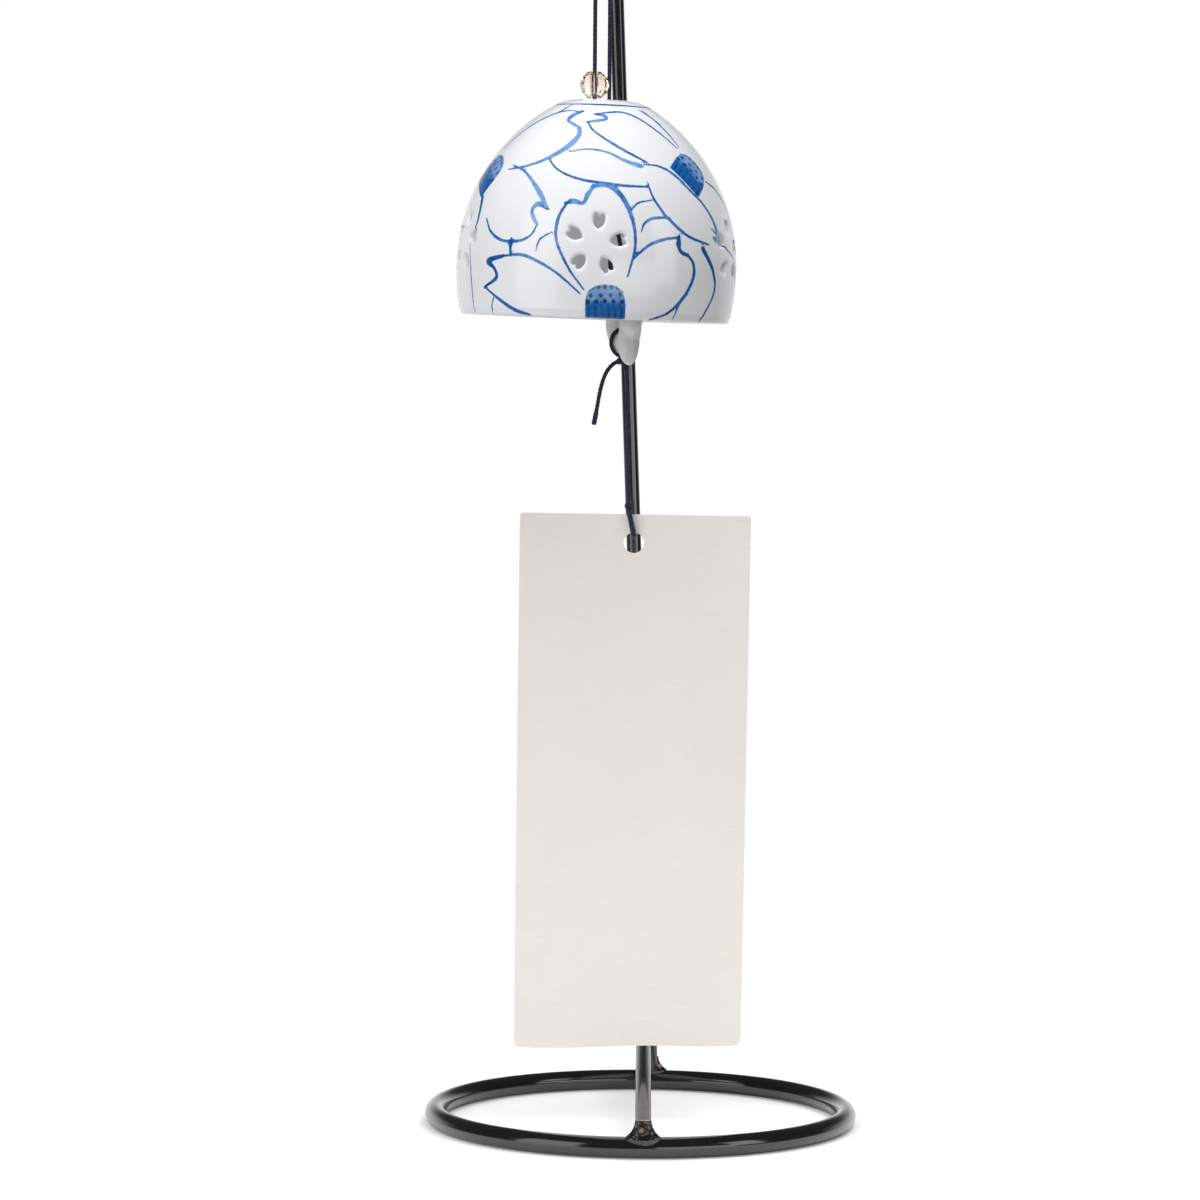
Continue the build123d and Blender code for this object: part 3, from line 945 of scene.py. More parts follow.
def distance_to_line(points, line):
    """For each point: its distance from a line of points, how far along it is nearest, and on which side."""
    best = np.full(len(points), 1e9)
    where = np.zeros(len(points))
    side = np.ones(len(points))
    spans = len(line) - 1
    for number, (start, end) in enumerate(zip(line[:-1], line[1:])):
        run = end - start
        offset = points - start
        step = np.clip(offset @ run / max(float(run @ run), 1e-12), 0, 1)
        gap = np.hypot(*(offset - step[:, None] * run).T)
        closer = gap < best
        best[closer] = gap[closer]
        where[closer] = (number + step[closer]) / spans
        side[closer] = np.where(run[0] * offset[closer, 1] > run[1] * offset[closer, 0], 1, -1)
    return best, where, side


# The painting on the bell


# What the mesh carries where nothing is painted
UNPAINTED = {"line": -3.0, "side": 3.0, "half": 0.0, "patch": -3.0, "deep": -3.0, "tone": 0.5}

# Each brush: its widths in millimetres and its tones, from start to end.
FINE = ((0.3, 0.55, 0.6, 0.3), (0.7, 0.5, 0.55, 0.8))
SIDE = ((0.45, 0.75, 0.95, 0.6), (0.7, 0.45, 0.38, 0.6))
SWELL = ((0.6, 0.9, 1.5, 1.1), (0.55, 0.4, 0.28, 0.35))
FADE = ((0.4, 0.6, 0.9, 1.5), (0.4, 0.3, 0.2, 0.2))
DAB = ((1.5, 1.0, 0.6), (0.9, 0.75, 1.0))
WASH = ((0.5, 0.9, 1.6, 1.0), (0.5, 0.25, 0.12, 0.2))
WASH_TIP = ((0.9, 1.5, 0.9, 1.3, 0.8), (0.55, 0.2, 0.35, 0.2, 0.3))
FULL = ((0.5, 0.85, 1.1, 0.75), (1.0, 0.8, 0.75, 0.95))
FULL_TIP = ((0.9, 1.7, 0.9, 1.2, 0.7), (0.95, 0.75, 0.85, 0.7, 1.0))

# Each mark is a brush and the places it passes: degrees right of the middle, millimetres up the wall.
BLOSSOM_MARKS = (
    (SIDE, ((-8.5, 7.2), (-15.0, 12.5), (-20.6, 19.5), (-20.4, 25.5), (-16.5, 30.0))),
    (WASH_TIP, ((-18.0, 29.0), (-14.6, 29.6), (-10.6, 29.2), (-8.8, 31.6), (-6.4, 34.0))),
    (SWELL, ((9.0, 11.0), (11.6, 18.5), (10.7, 25.0), (6.4, 31.2), (0.2, 34.2), (-6.4, 34.0))),
    (SIDE, ((-10.0, 6.2), (-21.0, 11.6), (-34.0, 15.2), (-44.5, 15.0))),
    (FULL_TIP, ((-44.5, 15.0), (-53.0, 13.6), (-49.4, 11.8), (-48.2, 9.4), (-55.4, 7.0))),
    (FULL, ((-55.4, 7.0), (-47.5, 4.2), (-39.0, 1.4), (-32.0, 0.3))),
    (SIDE, ((10.8, 15.2), (13.6, 17.0), (18.0, 19.2), (24.5, 20.7), (31.6, 21.4))),
    (FULL_TIP, ((31.6, 21.6), (31.2, 19.2), (32.6, 17.6), (36.0, 17.0))),
    (FULL, ((20.0, 0.2), (28.0, 2.2), (35.0, 6.6), (38.9, 11.0), (39.0, 14.6), (36.0, 17.0))),
    (FINE, ((36.5, 7.2), (32.6, 4.0), (31.0, 0.6))),
    (FINE, ((-50.0, 4.6), (-51.5, 2.4), (-52.0, 0.4))),
    (FINE, ((-29.0, 16.6), (-27.6, 19.4), (-22.4, 21.5))),
    (DAB, ((-41.0, 18.8), (-41.2, 17.2), (-41.0, 15.4))),
    (FINE, ((9.4, 27.3), (13.4, 29.8), (20.4, 30.9))),
    (SIDE, ((14.4, 22.6), (15.8, 24.6), (20.0, 26.0), (27.6, 26.3))),
)
LEFT_SHOULDER_MARKS = (
    (FINE, ((-76.0, 45.0), (-67.0, 52.4), (-53.0, 57.8), (-38.0, 59.8), (-25.0, 59.2))),
    (WASH_TIP, ((-23.0, 59.6), (-29.6, 57.6), (-31.0, 55.4), (-25.6, 54.0), (-19.6, 52.6))),
    (WASH, ((-54.6, 38.2), (-43.6, 39.2), (-33.0, 41.5), (-23.4, 45.4), (-18.4, 49.6), (-19.6, 52.6))),
    (WASH, ((-52.4, 39.4), (-43.0, 37.6), (-35.0, 34.0), (-29.4, 30.4), (-26.6, 27.6))),
    (WASH_TIP, ((-26.0, 27.4), (-30.4, 28.6), (-33.0, 27.0), (-31.8, 25.0), (-29.6, 23.2))),
    (SIDE, ((-29.6, 23.2), (-32.0, 20.4), (-38.0, 18.8), (-46.6, 19.0), (-53.6, 21.2), (-58.0, 24.4))),
    (DAB, ((-67.2, 30.2), (-65.4, 26.8), (-65.0, 23.8), (-66.4, 20.8))),
    (FINE, ((-68.4, 18.0), (-65.6, 9.0), (-65.4, 0.6))),
    (FINE, ((-94.0, 24.4), (-84.0, 21.6), (-78.0, 22.8))),
    (SIDE, ((-90.0, 22.0), (-93.0, 12.0), (-92.0, 0.8))),
    (FINE, ((-42.6, 62.4), (-45.0, 60.6), (-47.6, 59.0))),
)
RIGHT_SHOULDER_MARKS = (
    (SIDE, ((46.6, 47.0), (37.6, 53.0), (26.8, 57.8), (14.6, 59.8), (0.8, 59.4), (-10.0, 58.4))),
    (WASH_TIP, ((-10.0, 58.4), (-3.4, 58.0), (-0.8, 56.4), (-7.4, 55.6), (-14.6, 55.0))),
    (SIDE, ((-14.6, 54.8), (-9.4, 51.6), (0.6, 47.9), (10.6, 44.6), (20.6, 41.6))),
    (FADE, ((-20.8, 44.0), (-11.4, 45.0), (-0.6, 44.2), (8.8, 41.8), (16.6, 40.4))),
    (SIDE, ((19.0, 41.0), (27.4, 40.6), (35.0, 38.4), (41.6, 34.6), (47.6, 31.4))),
    (SIDE, ((-32.0, 41.8), (-25.0, 38.4), (-15.0, 36.0), (-3.4, 34.9), (7.8, 34.4), (18.8, 34.4))),
    (SIDE, ((19.0, 35.6), (20.8, 31.4), (26.6, 26.4), (36.0, 22.0), (48.2, 20.0))),
    (SWELL, ((47.4, 31.8), (52.8, 27.6), (55.8, 23.6), (54.6, 21.4), (52.8, 21.8))),
    (DAB, ((44.6, 18.8), (51.2, 13.4), (53.2, 8.0), (46.8, 0.6))),
    (SIDE, ((51.8, 24.2), (62.4, 19.6), (74.6, 16.0), (79.6, 8.0), (77.6, 0.6))),
    (SIDE, ((58.4, 37.2), (67.6, 34.6), (75.0, 29.0), (79.6, 21.6))),
    (FINE, ((41.0, 61.4), (46.8, 54.6), (49.6, 47.4))),
    (FINE, ((37.0, 61.6), (43.0, 58.8), (48.0, 55.4))),
)

# Each brush of stamens: degrees, millimetres up the wall, heading in degrees, length and width.
STAMEN_MARKS = (
    (0.8, -0.2, 93.0, 8.8, 10.4),
    (40.6, 36.4, 40.0, 10.2, 11.0),
    (-77.0, 32.8, 60.0, 10.4, 11.4),
)


class Brushwork:
    """Cobalt marks on the bell, kept at the mesh's points as distances from the marks."""

    def __init__(self, place, outline):
        self.heights = np.linspace(0, outline.height, 400)
        self.radii = outline.radius(self.heights)
        steps = np.hypot(np.diff(self.heights), np.diff(self.radii))
        self.climbed = np.concatenate([[0], np.cumsum(steps)])
        self.azimuth = np.arctan2(place[:, 0], -place[:, 1])
        self.rise = np.interp(place[:, 2], self.heights, self.climbed)
        self.radius = outline.radius(place[:, 2])
        for name, value in UNPAINTED.items():
            setattr(self, name, np.full(len(place), value))

    def face(self, middle):
        """Turns the chart to a middle: places are then millimetres to the right of it and up the wall."""
        swing = (self.azimuth - math.radians(middle) + math.pi) % FULL_TURN - math.pi
        self.chart = np.stack([swing * self.radius, self.rise], axis=1)
        self.seen = np.abs(swing) < math.radians(110)

    def corner(self, degrees, rise):
        """A place on the chart."""
        radius = np.interp(rise, self.climbed, self.radii)
        return np.array([math.radians(degrees) * radius, rise])

    def near(self, line, margin):
        """Numbers of the mesh's points round a line."""
        inside = (self.chart > line.min(axis=0) - margin) & (self.chart < line.max(axis=0) + margin)
        return np.where(self.seen & np.all(inside, axis=1))[0]

    def stroke(self, corners, brush):
        """One brush stroke, with its widths and tones from start to end."""
        line = smooth_line(np.array([self.corner(*corner) for corner in corners]))
        near = self.near(line, 3)
        gap, along, side = distance_to_line(self.chart[near], line)
        widths, tones = brush
        half = 0.5 * np.interp(along, np.linspace(0, 1, len(widths)), widths)
        over = half - gap > self.line[near]
        chosen = near[over]
        self.line[chosen] = (half - gap)[over]
        self.side[chosen] = (side * gap)[over]
        self.half[chosen] = half[over]
        self.tone[chosen] = np.interp(along, np.linspace(0, 1, len(tones)), tones)[over]

    def stamens(self, rise, heading, size, width):
        """A brush of stamens on the chart's middle: a blue patch, striped at its foot, dotted at its top."""
        base = self.corner(0, rise)
        ahead = np.array([math.cos(math.radians(heading)), math.sin(math.radians(heading))])
        aside = np.array([-ahead[1], ahead[0]])

        def spot(along, across):
            return base + ahead * along * size + aside * across * width / 2

        sides = ((0, 0.98), (0.5, 0.99), (0.82, 0.86), (0.97, 0.5))
        outline = [spot(along, -across) for along, across in sides] + [spot(1.02, 0)]
        outline += [spot(along, across) for along, across in reversed(sides)]
        outline = np.array(outline + outline[:1])
        near = self.near(outline, 2)
        gap, _, _ = distance_to_line(self.chart[near], outline)
        inside = inside_outline(self.chart[near], outline)
        self.patch[near] = np.maximum(self.patch[near], np.where(inside, gap, -gap))
        height = (self.chart[near] - base) @ ahead / size
        self.tone[near[inside]] = np.interp(height[inside], (0.0, 0.4, 0.6, 1.0), (0.68, 0.52, 0.24, 0.06))
        for number, lane in enumerate(np.linspace(-0.78, 0.82, 6)):
            top = 0.44 + 0.06 * math.sin(5 * number)
            corners = [spot(0, lane), spot(0.2, lane - 0.03), spot(top, lane * 0.97 + 0.03)]
            gap, _, _ = distance_to_line(self.chart[near], smooth_line(np.array(corners), 4))
            self.tone[near] += 0.5 * np.clip(1.2 - gap / 0.4, 0, 1)
        for row, along in enumerate((0.51, 0.71, 0.91)):
            for number, lane in enumerate(np.linspace(-0.84, 0.84, 5 - row % 2)):
                wander = 0.02 * math.sin(7 * number + 3 * row)
                dab = spot(along + wander, (lane + wander) * (1 - 0.14 * row))
                self.dab(dab, dab + ahead * 0.15, 1.05)

    def dab(self, start, end, width):
        """A dark touch of the brush laid over a patch."""
        line = np.array([start, end])
        near = self.near(line, 2)
        gap, _, _ = distance_to_line(self.chart[near], line)
        self.deep[near] = np.maximum(self.deep[near], 0.5 * width - gap)

    def ring(self, height, width):
        """A line right round the bell, drawn on the wheel."""
        offset = self.rise - np.interp(height, self.heights, self.climbed)
        half = 0.5 * width * (1 + 0.25 * np.sin(3 * self.azimuth + 1))
        over = half - np.abs(offset) > self.line
        self.line[over] = (half - np.abs(offset))[over]
        self.side[over] = offset[over]
        self.half[over] = half[over]
        self.tone[over] = 0.6


def inside_outline(points, outline):
    """Whether each point lies inside a closed outline."""
    x, y = points.T
    inside = np.zeros(len(points), bool)
    for (x0, y0), (x1, y1) in zip(outline[:-1], outline[1:]):
        crosses = (y0 > y) != (y1 > y)
        inside ^= crosses & (x < (x1 - x0) * (y - y0) / (y1 - y0 + 1e-12) + x0)
    return inside


def smooth_line(corners, steps=10):
    """A smooth line through a few points."""
    padded = np.vstack([2 * corners[0] - corners[1], corners, 2 * corners[-1] - corners[-2]])
    line = []
    for a, b, c, d in zip(padded, padded[1:], padded[2:], padded[3:]):
        for t in np.linspace(0, 1, steps, endpoint=False):
            bend = (2 * a - 5 * b + 4 * c - d) * t**2 + (3 * b - a - 3 * c + d) * t**3
            line.append(0.5 * (2 * b + (c - a) * t + bend))
    line.append(corners[-1])
    return np.array(line)


def mesh_places(mesh):
    """The mesh's points as rows, in metres."""
    place = np.empty(len(mesh.vertices) * 3)
    mesh.vertices.foreach_get("co", place)
    return place.reshape(-1, 3)


def paint_bell(shell, outline):
    """Paints open cherry blossoms round the bell, the same group of three on the front and on the back."""
    place = mesh_places(shell.data) / MM
    work = Brushwork(place, outline)
    for middle in (5.5, 185.5):
        work.face(middle)
        for brush, corners in BLOSSOM_MARKS + LEFT_SHOULDER_MARKS + RIGHT_SHOULDER_MARKS:
            work.stroke(corners, brush)
        for degrees, *mark in STAMEN_MARKS:
            work.face(middle + degrees)
            work.stamens(*mark)
    work.ring(outline.height - 1.7, 0.75)
    outside = np.abs(np.hypot(place[:, 0], place[:, 1]) - work.radius) < 0.9
    for name, unpainted in UNPAINTED.items():
        values = np.where(outside, getattr(work, name), unpainted).astype(np.float32)
        shell.data.attributes.new(name, "FLOAT", "POINT").data.foreach_set("value", values)


# Cords


def spline_points(route):
    """Close points along the smooth line of a cord's route."""
    curve = bpy.data.curves.new("route", "CURVE")
    curve.dimensions = "3D"
    curve.resolution_u = 24
    spline = curve.splines.new("NURBS")
    spline.points.add(len(route) - 1)
    for point, corner in zip(spline.points, route):
        point.co = (*corner, 1)
    spline.order_u = 3
    spline.use_endpoint_u = True
    holder = bpy.data.objects.new("route", curve)
    mesh = bpy.data.meshes.new_from_object(holder)
    points = np.array([vertex.co[:] for vertex in mesh.vertices])
    bpy.data.objects.remove(holder)
    bpy.data.curves.remove(curve)
    bpy.data.meshes.remove(mesh)
    return points


def even_points(line, spacing):
    """The same line at even steps, with its length so far at each."""
    runs = np.concatenate([[0], np.cumsum(np.linalg.norm(np.diff(line, axis=0), axis=1))])
    count = max(int(runs[-1] / spacing), 8)
    so_far = np.linspace(0, runs[-1], count + 1)
    return np.stack([np.interp(so_far, runs, line[:, axis]) for axis in range(3)], axis=1), so_far


def carried_frames(points):
    """Two directions across a line at each point, carried along it without twist."""
    headings = np.gradient(points, axis=0)
    headings /= np.linalg.norm(headings, axis=1)[:, None]
    side = np.cross(headings[0], (0.31, 0.87, 0.38))
    sides = []
    for heading in headings:
        side = side - heading * (side @ heading)
        side = side / np.linalg.norm(side)
        sides.append(side)
    sides = np.array(sides)
    return sides, np.cross(headings, sides)


def tube_mesh(line, radius, sides):
    """Vertices and faces of a closed round tube along a line."""
    first, second = carried_frames(line)
    angles = np.linspace(0, FULL_TURN, sides, endpoint=False)[None, :, None]
    ring = np.cos(angles) * first[:, None] + np.sin(angles) * second[:, None]
    vertices = (line[:, None] + ring * radius).reshape(-1, 3)
    faces = []
    for step in range(len(line) - 1):
        for number in range(sides):
            onward = (number + 1) % sides
            low, high = step * sides, (step + 1) * sides
            faces.append((low + number, low + onward, high + onward, high + number))
    last = (len(line) - 1) * sides
    faces.append(tuple(reversed(range(sides))))
    faces.append(tuple(range(last, last + sides)))
    return vertices, faces


def braided_cord(name, line, diameter, pitch):
    """A round braid along a line: strands that cross over and under, on a solid core."""
    points, so_far = even_points(line, pitch / 26)
    first, second = carried_frames(points)
    strand = 0.19 * diameter
    wave = 0.05 * diameter
    middle = diameter / 2 - strand - wave
    core, faces = tube_mesh(points[::4], middle, 10)
    vertices = [core]
    count = len(core)
    weave = wave * np.cos(2 * BRAID_STRANDS * FULL_TURN * so_far / pitch)
    for sense in (1, -1):
        for number in range(BRAID_STRANDS):
            swing = FULL_TURN * number / BRAID_STRANDS + sense * FULL_TURN * so_far / pitch
            reach = middle + sense * weave
            offset = np.cos(swing)[:, None] * first + np.sin(swing)[:, None] * second
            path = points + offset * reach[:, None]
            made, made_faces = tube_mesh(path, strand, 5)
            faces += [tuple(count + index for index in face) for face in made_faces]
            vertices.append(made)
            count += len(made)
    mesh = bpy.data.meshes.new(name)
    mesh.from_pydata(np.vstack(vertices).tolist(), [], faces)
    obj = bpy.data.objects.new(name, mesh)
    context_collection().objects.link(obj)
    return obj


def wrap_line(centre, radius, axis):
    """A turn of cord about an axis."""
    axis = Vector(axis).normalized()
    first = axis.cross(Vector((0, 0, 1))).normalized()
    second = axis.cross(first)
    angles = np.linspace(0, FULL_TURN, 60)
    ring = np.outer(np.cos(angles), first) + np.outer(np.sin(angles), second)
    return np.array(centre) + ring * radius


def turn_corners(centre, radius, axis, creep, sweep=320.0, corners=8):
    """Corners of a route that goes once round an axis from its top, and creeps along the axis as it goes."""
    axis = Vector(axis).normalized()
    aside = axis.cross(Vector((0, 0, 1))).normalized()
    upward = aside.cross(axis)
    step = math.radians(sweep / corners)
    reach = radius / math.cos(step / 2)
    made = []
    for number in range(corners):
        swing = RIGHT_ANGLE + step * (number + 0.5)
        ring = aside * math.cos(swing) + upward * math.sin(swing)
        made.append(Vector(centre) + ring * reach + axis * creep * (number + 1) / corners)
    return made


def knot_line(centre, radius, turn=0.0):
    """The line of an overhand knot, drawn up into a ball."""
    angles = np.linspace(0, FULL_TURN, 120)
    line = np.stack(
        [
            np.sin(angles + turn) + 2 * np.sin(2 * angles + turn),
            np.cos(angles + turn) - 2 * np.cos(2 * angles + turn),
            -1.9 * np.sin(3 * angles),
        ],
        axis=1,
    )
    return np.array(centre) + line * (radius / 3.0)


def link_directions(clapper):
    """The clapper's long axis, and the direction in which its link is wide."""
    axis = Vector((-math.sin(clapper.lean), 0, math.cos(clapper.lean)))
    wide = Vector((math.cos(clapper.turn), -math.sin(clapper.turn), 0))
    across = axis.cross(wide).normalized()
    return axis, across.cross(axis).normalized()


class WINDBELL_OT_cords(bpy.types.Operator):
    """Model the braided loop, the clapper's cord, the strip's cord and their knots"""

    bl_idname = "windbell.cords"
    bl_label = "Cords"

    def execute(self, context):
        scene = context.scene
        cords = scene.windbell_cord
        self.yarn = cord_material(cords)
        self.diameter = cords.diameter
        self.pitch = cords.braid_pitch
        self.hanging_loop(scene)
        self.clapper_cord(scene)
        self.strip_cord(scene)
        self.strip_tie(scene)
        return {"FINISHED"}

    def braid(self, name, line, body, nodes=(), thickness=1.0):
        obj = braided_cord(name, line, self.diameter * thickness, self.pitch)
        return dress(obj, self.yarn, body, nodes, smooth=80)

    def hanging_loop(self, scene):
        seat = Vector(scene.windbell_stand.hook_seat)
        _, across = hook_directions(scene.windbell_stand)
        reach = scene.windbell_bell.strand_offset
        foot = scene.windbell_bell.crown_centre[2] - scene.windbell_bell.crown_thickness / 2 - seat.z
        left = seat - across * reach
        right = seat + across * reach
        near_top = 6 * self.diameter
        up = Vector((0, 0, 1))
        route = [left + up * foot, left + up * (reach - near_top), left + up * reach]
        route += [right + up * reach, right + up * (reach - near_top), right + up * foot]
        line = spline_points(route)
        loop = self.braid("loop_cord", line, "hanger", ["hanging_loop"])
        knot = knot_line(scene.windbell_cord.knot_centre, 2.2 * MM)
        self.braid("stopper_knot", knot, "bell", ["crown_knot"])

    def clapper_cord(self, scene):
        cords = scene.windbell_cord
        knot = Vector(cords.knot_centre)
        top = Vector(cords.clapper_top)
        hang = (top - knot).normalized()
        start = knot + hang * 3.2 * MM
        end = top - hang * cords.wrap_radius
        _, wide = link_directions(scene.windbell_clapper)
        route = [start, start.lerp(end, 0.5), end] + turn_corners(top, cords.wrap_radius, wide, 1.3 * MM)
        line = spline_points(route)
        cord = self.braid("clapper_cord_run", line, "clapper_line", ["clapper_cord"])

    def strip_cord(self, scene):
        cords = scene.windbell_cord
        foot = Vector(cords.clapper_foot)
        tie = Vector(cords.tie)
        tail = [(-3.0, -0.3, -5.5), (-4.9, -0.9, -8.0), (-6.2, -1.2, -12.4)]
        tail += [(-6.9, -1.3, -17.0), (-7.7, -1.4, -21.2)]
        over = [(0.8, 0.4, -9.0), (0.5, 0.4, -6.4), (-0.9, 0.35, -4.6)]
        steps = [foot + Vector(step) * MM for step in over + tail]
        route = [tie, tie.lerp(steps[0], 0.8)] + steps
        line = spline_points(route)
        _, wide = link_directions(scene.windbell_clapper)
        cord = self.braid("strip_cord_run", line, "strip_line", ["strip_cord"])
        wrap = self.braid("strip_cord_turn", wrap_line(foot, cords.wrap_radius, wide), "strip_line")
        knot_at = foot + Vector((-0.9, 0.35, -4.75)) * MM
        knot = self.braid("strip_cord_knot", knot_line(knot_at, 0.85 * MM, 0.6), "strip_line", thickness=0.9)
        cut_end = self.braid("strip_cord_end", line[-12:], "strip_line", thickness=1.22)

    def strip_tie(self, scene):
        strip = scene.windbell_strip
        edge = Vector(scene.windbell_cord.tie)
        hole = strip_matrix(strip) @ Vector((strip.hole_shift, 0, -strip.hole_drop))
        sill = hole + Vector((0, 0, strip.hole / 2 - 0.75 * MM))
        side = Vector((0, strip.thickness / 2 + 0.95 * MM, 0))
        top = edge - Vector((0, 0, 1.65 * MM))
        front = [top - side, top.lerp(sill, 0.5) - side * 1.25, sill - side * 1.3, sill - side * 0.6]
        back = [sill + side * 0.6, sill + side * 1.3, top.lerp(sill, 0.5) + side * 1.25, top + side]
        self.braid("tie_loop", spline_points(front + back), "strip", ["strip_tie"], thickness=1.3)
        knot_at = edge + Vector((0.15, -0.2, -0.8)) * MM
        self.braid("tie_knot", knot_line(knot_at, 0.75 * MM, 0.4), "strip", thickness=1.05)


# The small pieces that hang on the cords


class WINDBELL_OT_bead(bpy.types.Operator):
    """Cut the crystal bead"""

    bl_idname = "windbell.bead"
    bl_label = "Bead"

    def execute(self, context):
        bead = context.scene.windbell_bead
        low, high = (Vector(corner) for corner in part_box("crystal_bead"))
        centre = (low + high) / 2
        half = bead.height / 2
        span = bead.diameter / 2
        upper = [(0, half), (0.44 * span, half), (0.83 * span, 0.62 * half), (span, 0.14 * half)]
        outline = upper + [(radius, -height) for radius, height in reversed(upper)]
        crystal = lathe("cut_crystal", outline, bead.facets)
        deselect()
        bpy.ops.mesh.primitive_cylinder_add(vertices=24, radius=bead.bore / 2, depth=2 * bead.height)
        cut(crystal, bpy.context.object)
        crystal.location = centre
        crystal.rotation_euler.z = math.radians(15)
        dress(crystal, crystal_material(bead), "hanger", ["crystal_bead"], smooth=None)
        return {"FINISHED"}


class WINDBELL_OT_clapper(bpy.types.Operator):
    """Roll the clay clapper"""

    bl_idname = "windbell.clapper"
    bl_label = "Clapper"

    def execute(self, context):
        clapper = context.scene.windbell_clapper
        foot = Vector(context.scene.windbell_cord.clapper_foot)
        axis, wide = link_directions(clapper)
        across = axis.cross(wide)
        turn = Matrix((wide, across, axis)).transposed()
        half = clapper.width / 2
        deselect()
        bpy.ops.mesh.primitive_torus_add(
            major_radius=half,
            minor_radius=clapper.wire / 2,
            major_segments=64,
            minor_segments=24,
            rotation=(RIGHT_ANGLE, 0, 0),
        )
        link = settle(named("clay_link"))
        edit_where(link, lambda co: co.z > 0)
        straight = clapper.length - clapper.wire - clapper.width
        bpy.ops.transform.translate(value=(0, 0, straight))
        bpy.ops.object.mode_set(mode="OBJECT")
        link.location.z = half
        settle(link)
        lumps = [
            link,
            lump((4.0 * MM, -0.4 * MM, -0.3 * MM), (2.7 * MM, 2.75 * MM, 5.6 * MM)),
            lump((7.0 * MM, -0.6 * MM, 6.0 * MM), (2.8 * MM, 3.1 * MM, 3.9 * MM)),
        ]
        clay = fuse("rolled_clapper", lumps, 0.27 * MM, 2)
        roughen(clay, 0.22 * MM, 4.5 * MM)
        clay.matrix_world = Matrix.Translation(foot) @ turn.to_4x4()
        dress(clay, clay_material(clapper), "clapper", ["clapper"], smooth=80)
        return {"FINISHED"}


def strip_matrix(strip):
    """The paper's own frame, at the middle of its upper edge, in the row frame."""
    return Matrix.Translation(strip.top) @ Matrix.Rotation(strip.tilt, 4, "Y")


class WINDBELL_OT_strip(bpy.types.Operator):
    """Cut the paper strip and punch its hole"""

    bl_idname = "windbell.strip"
    bl_label = "Paper strip"

    def execute(self, context):
        strip = context.scene.windbell_strip
        deselect()
        bpy.ops.mesh.primitive_grid_add(
            x_subdivisions=60, y_subdivisions=140, size=1, rotation=(RIGHT_ANGLE, 0, 0)
        )
        sheet = named("washi_strip")
        sheet.scale = (strip.width, strip.length, 1)
        settle(sheet)
        sheet.location.z = -strip.length / 2
        settle(sheet)
        self.round_corners(sheet, strip)
        self.bow(sheet, strip)
        apply_modifier(sheet, "SOLIDIFY", thickness=strip.thickness, offset=0)
        deselect()
        bpy.ops.mesh.primitive_cylinder_add(
            vertices=64,
            radius=strip.hole / 2,
            depth=20 * MM,
            location=(strip.hole_shift, 0, -strip.hole_drop),
            rotation=(RIGHT_ANGLE, 0, 0),
        )
        cut(sheet, settle(bpy.context.object))
        sheet.matrix_world = strip_matrix(strip)
        dress(sheet, paper_material(strip), "strip", ["paper_strip"], smooth=40)
        return {"FINISHED"}

    def round_corners(self, sheet, strip):
        """Draws the corner points of the sheet in to small arcs."""
        for vertex in sheet.data.vertices:
            across = strip.width / 2 - abs(vertex.co.x)
            for edge, rounding in ((-vertex.co.z, 0.6 * MM), (strip.length + vertex.co.z, 1.8 * MM)):
                inward = Vector((rounding - across, rounding - edge))
                if min(inward) > 0 and inward.length > rounding:
                    drawn = inward * (1 - rounding / inward.length)
                    vertex.co.x -= math.copysign(drawn.x, vertex.co.x)
                    vertex.co.z += math.copysign(drawn.y, -strip.length / 2 - vertex.co.z)

    def bow(self, sheet, strip):
        """The slight curl that the paper keeps, flat where it is tied."""
        for vertex in sheet.data.vertices:
            fall = -vertex.co.z / strip.length
            side = 2 * vertex.co.x / strip.width
            vertex.co.x *= 1 - 0.012 * fall
            vertex.co.y += 0.5 * MM * fall * math.sin(2.2 * fall + 0.4) - 0.35 * MM * fall * side**2
            vertex.co.z += fall**4 * MM * (1.4 + 0.9 * side + 0.2 * math.sin(5 * side + 1))


# Camera, light and floor


def aim(location, target):
    """The turn that points a lamp at a target."""
    return (Vector(target) - Vector(location)).to_track_quat("-Z", "Y").to_euler()


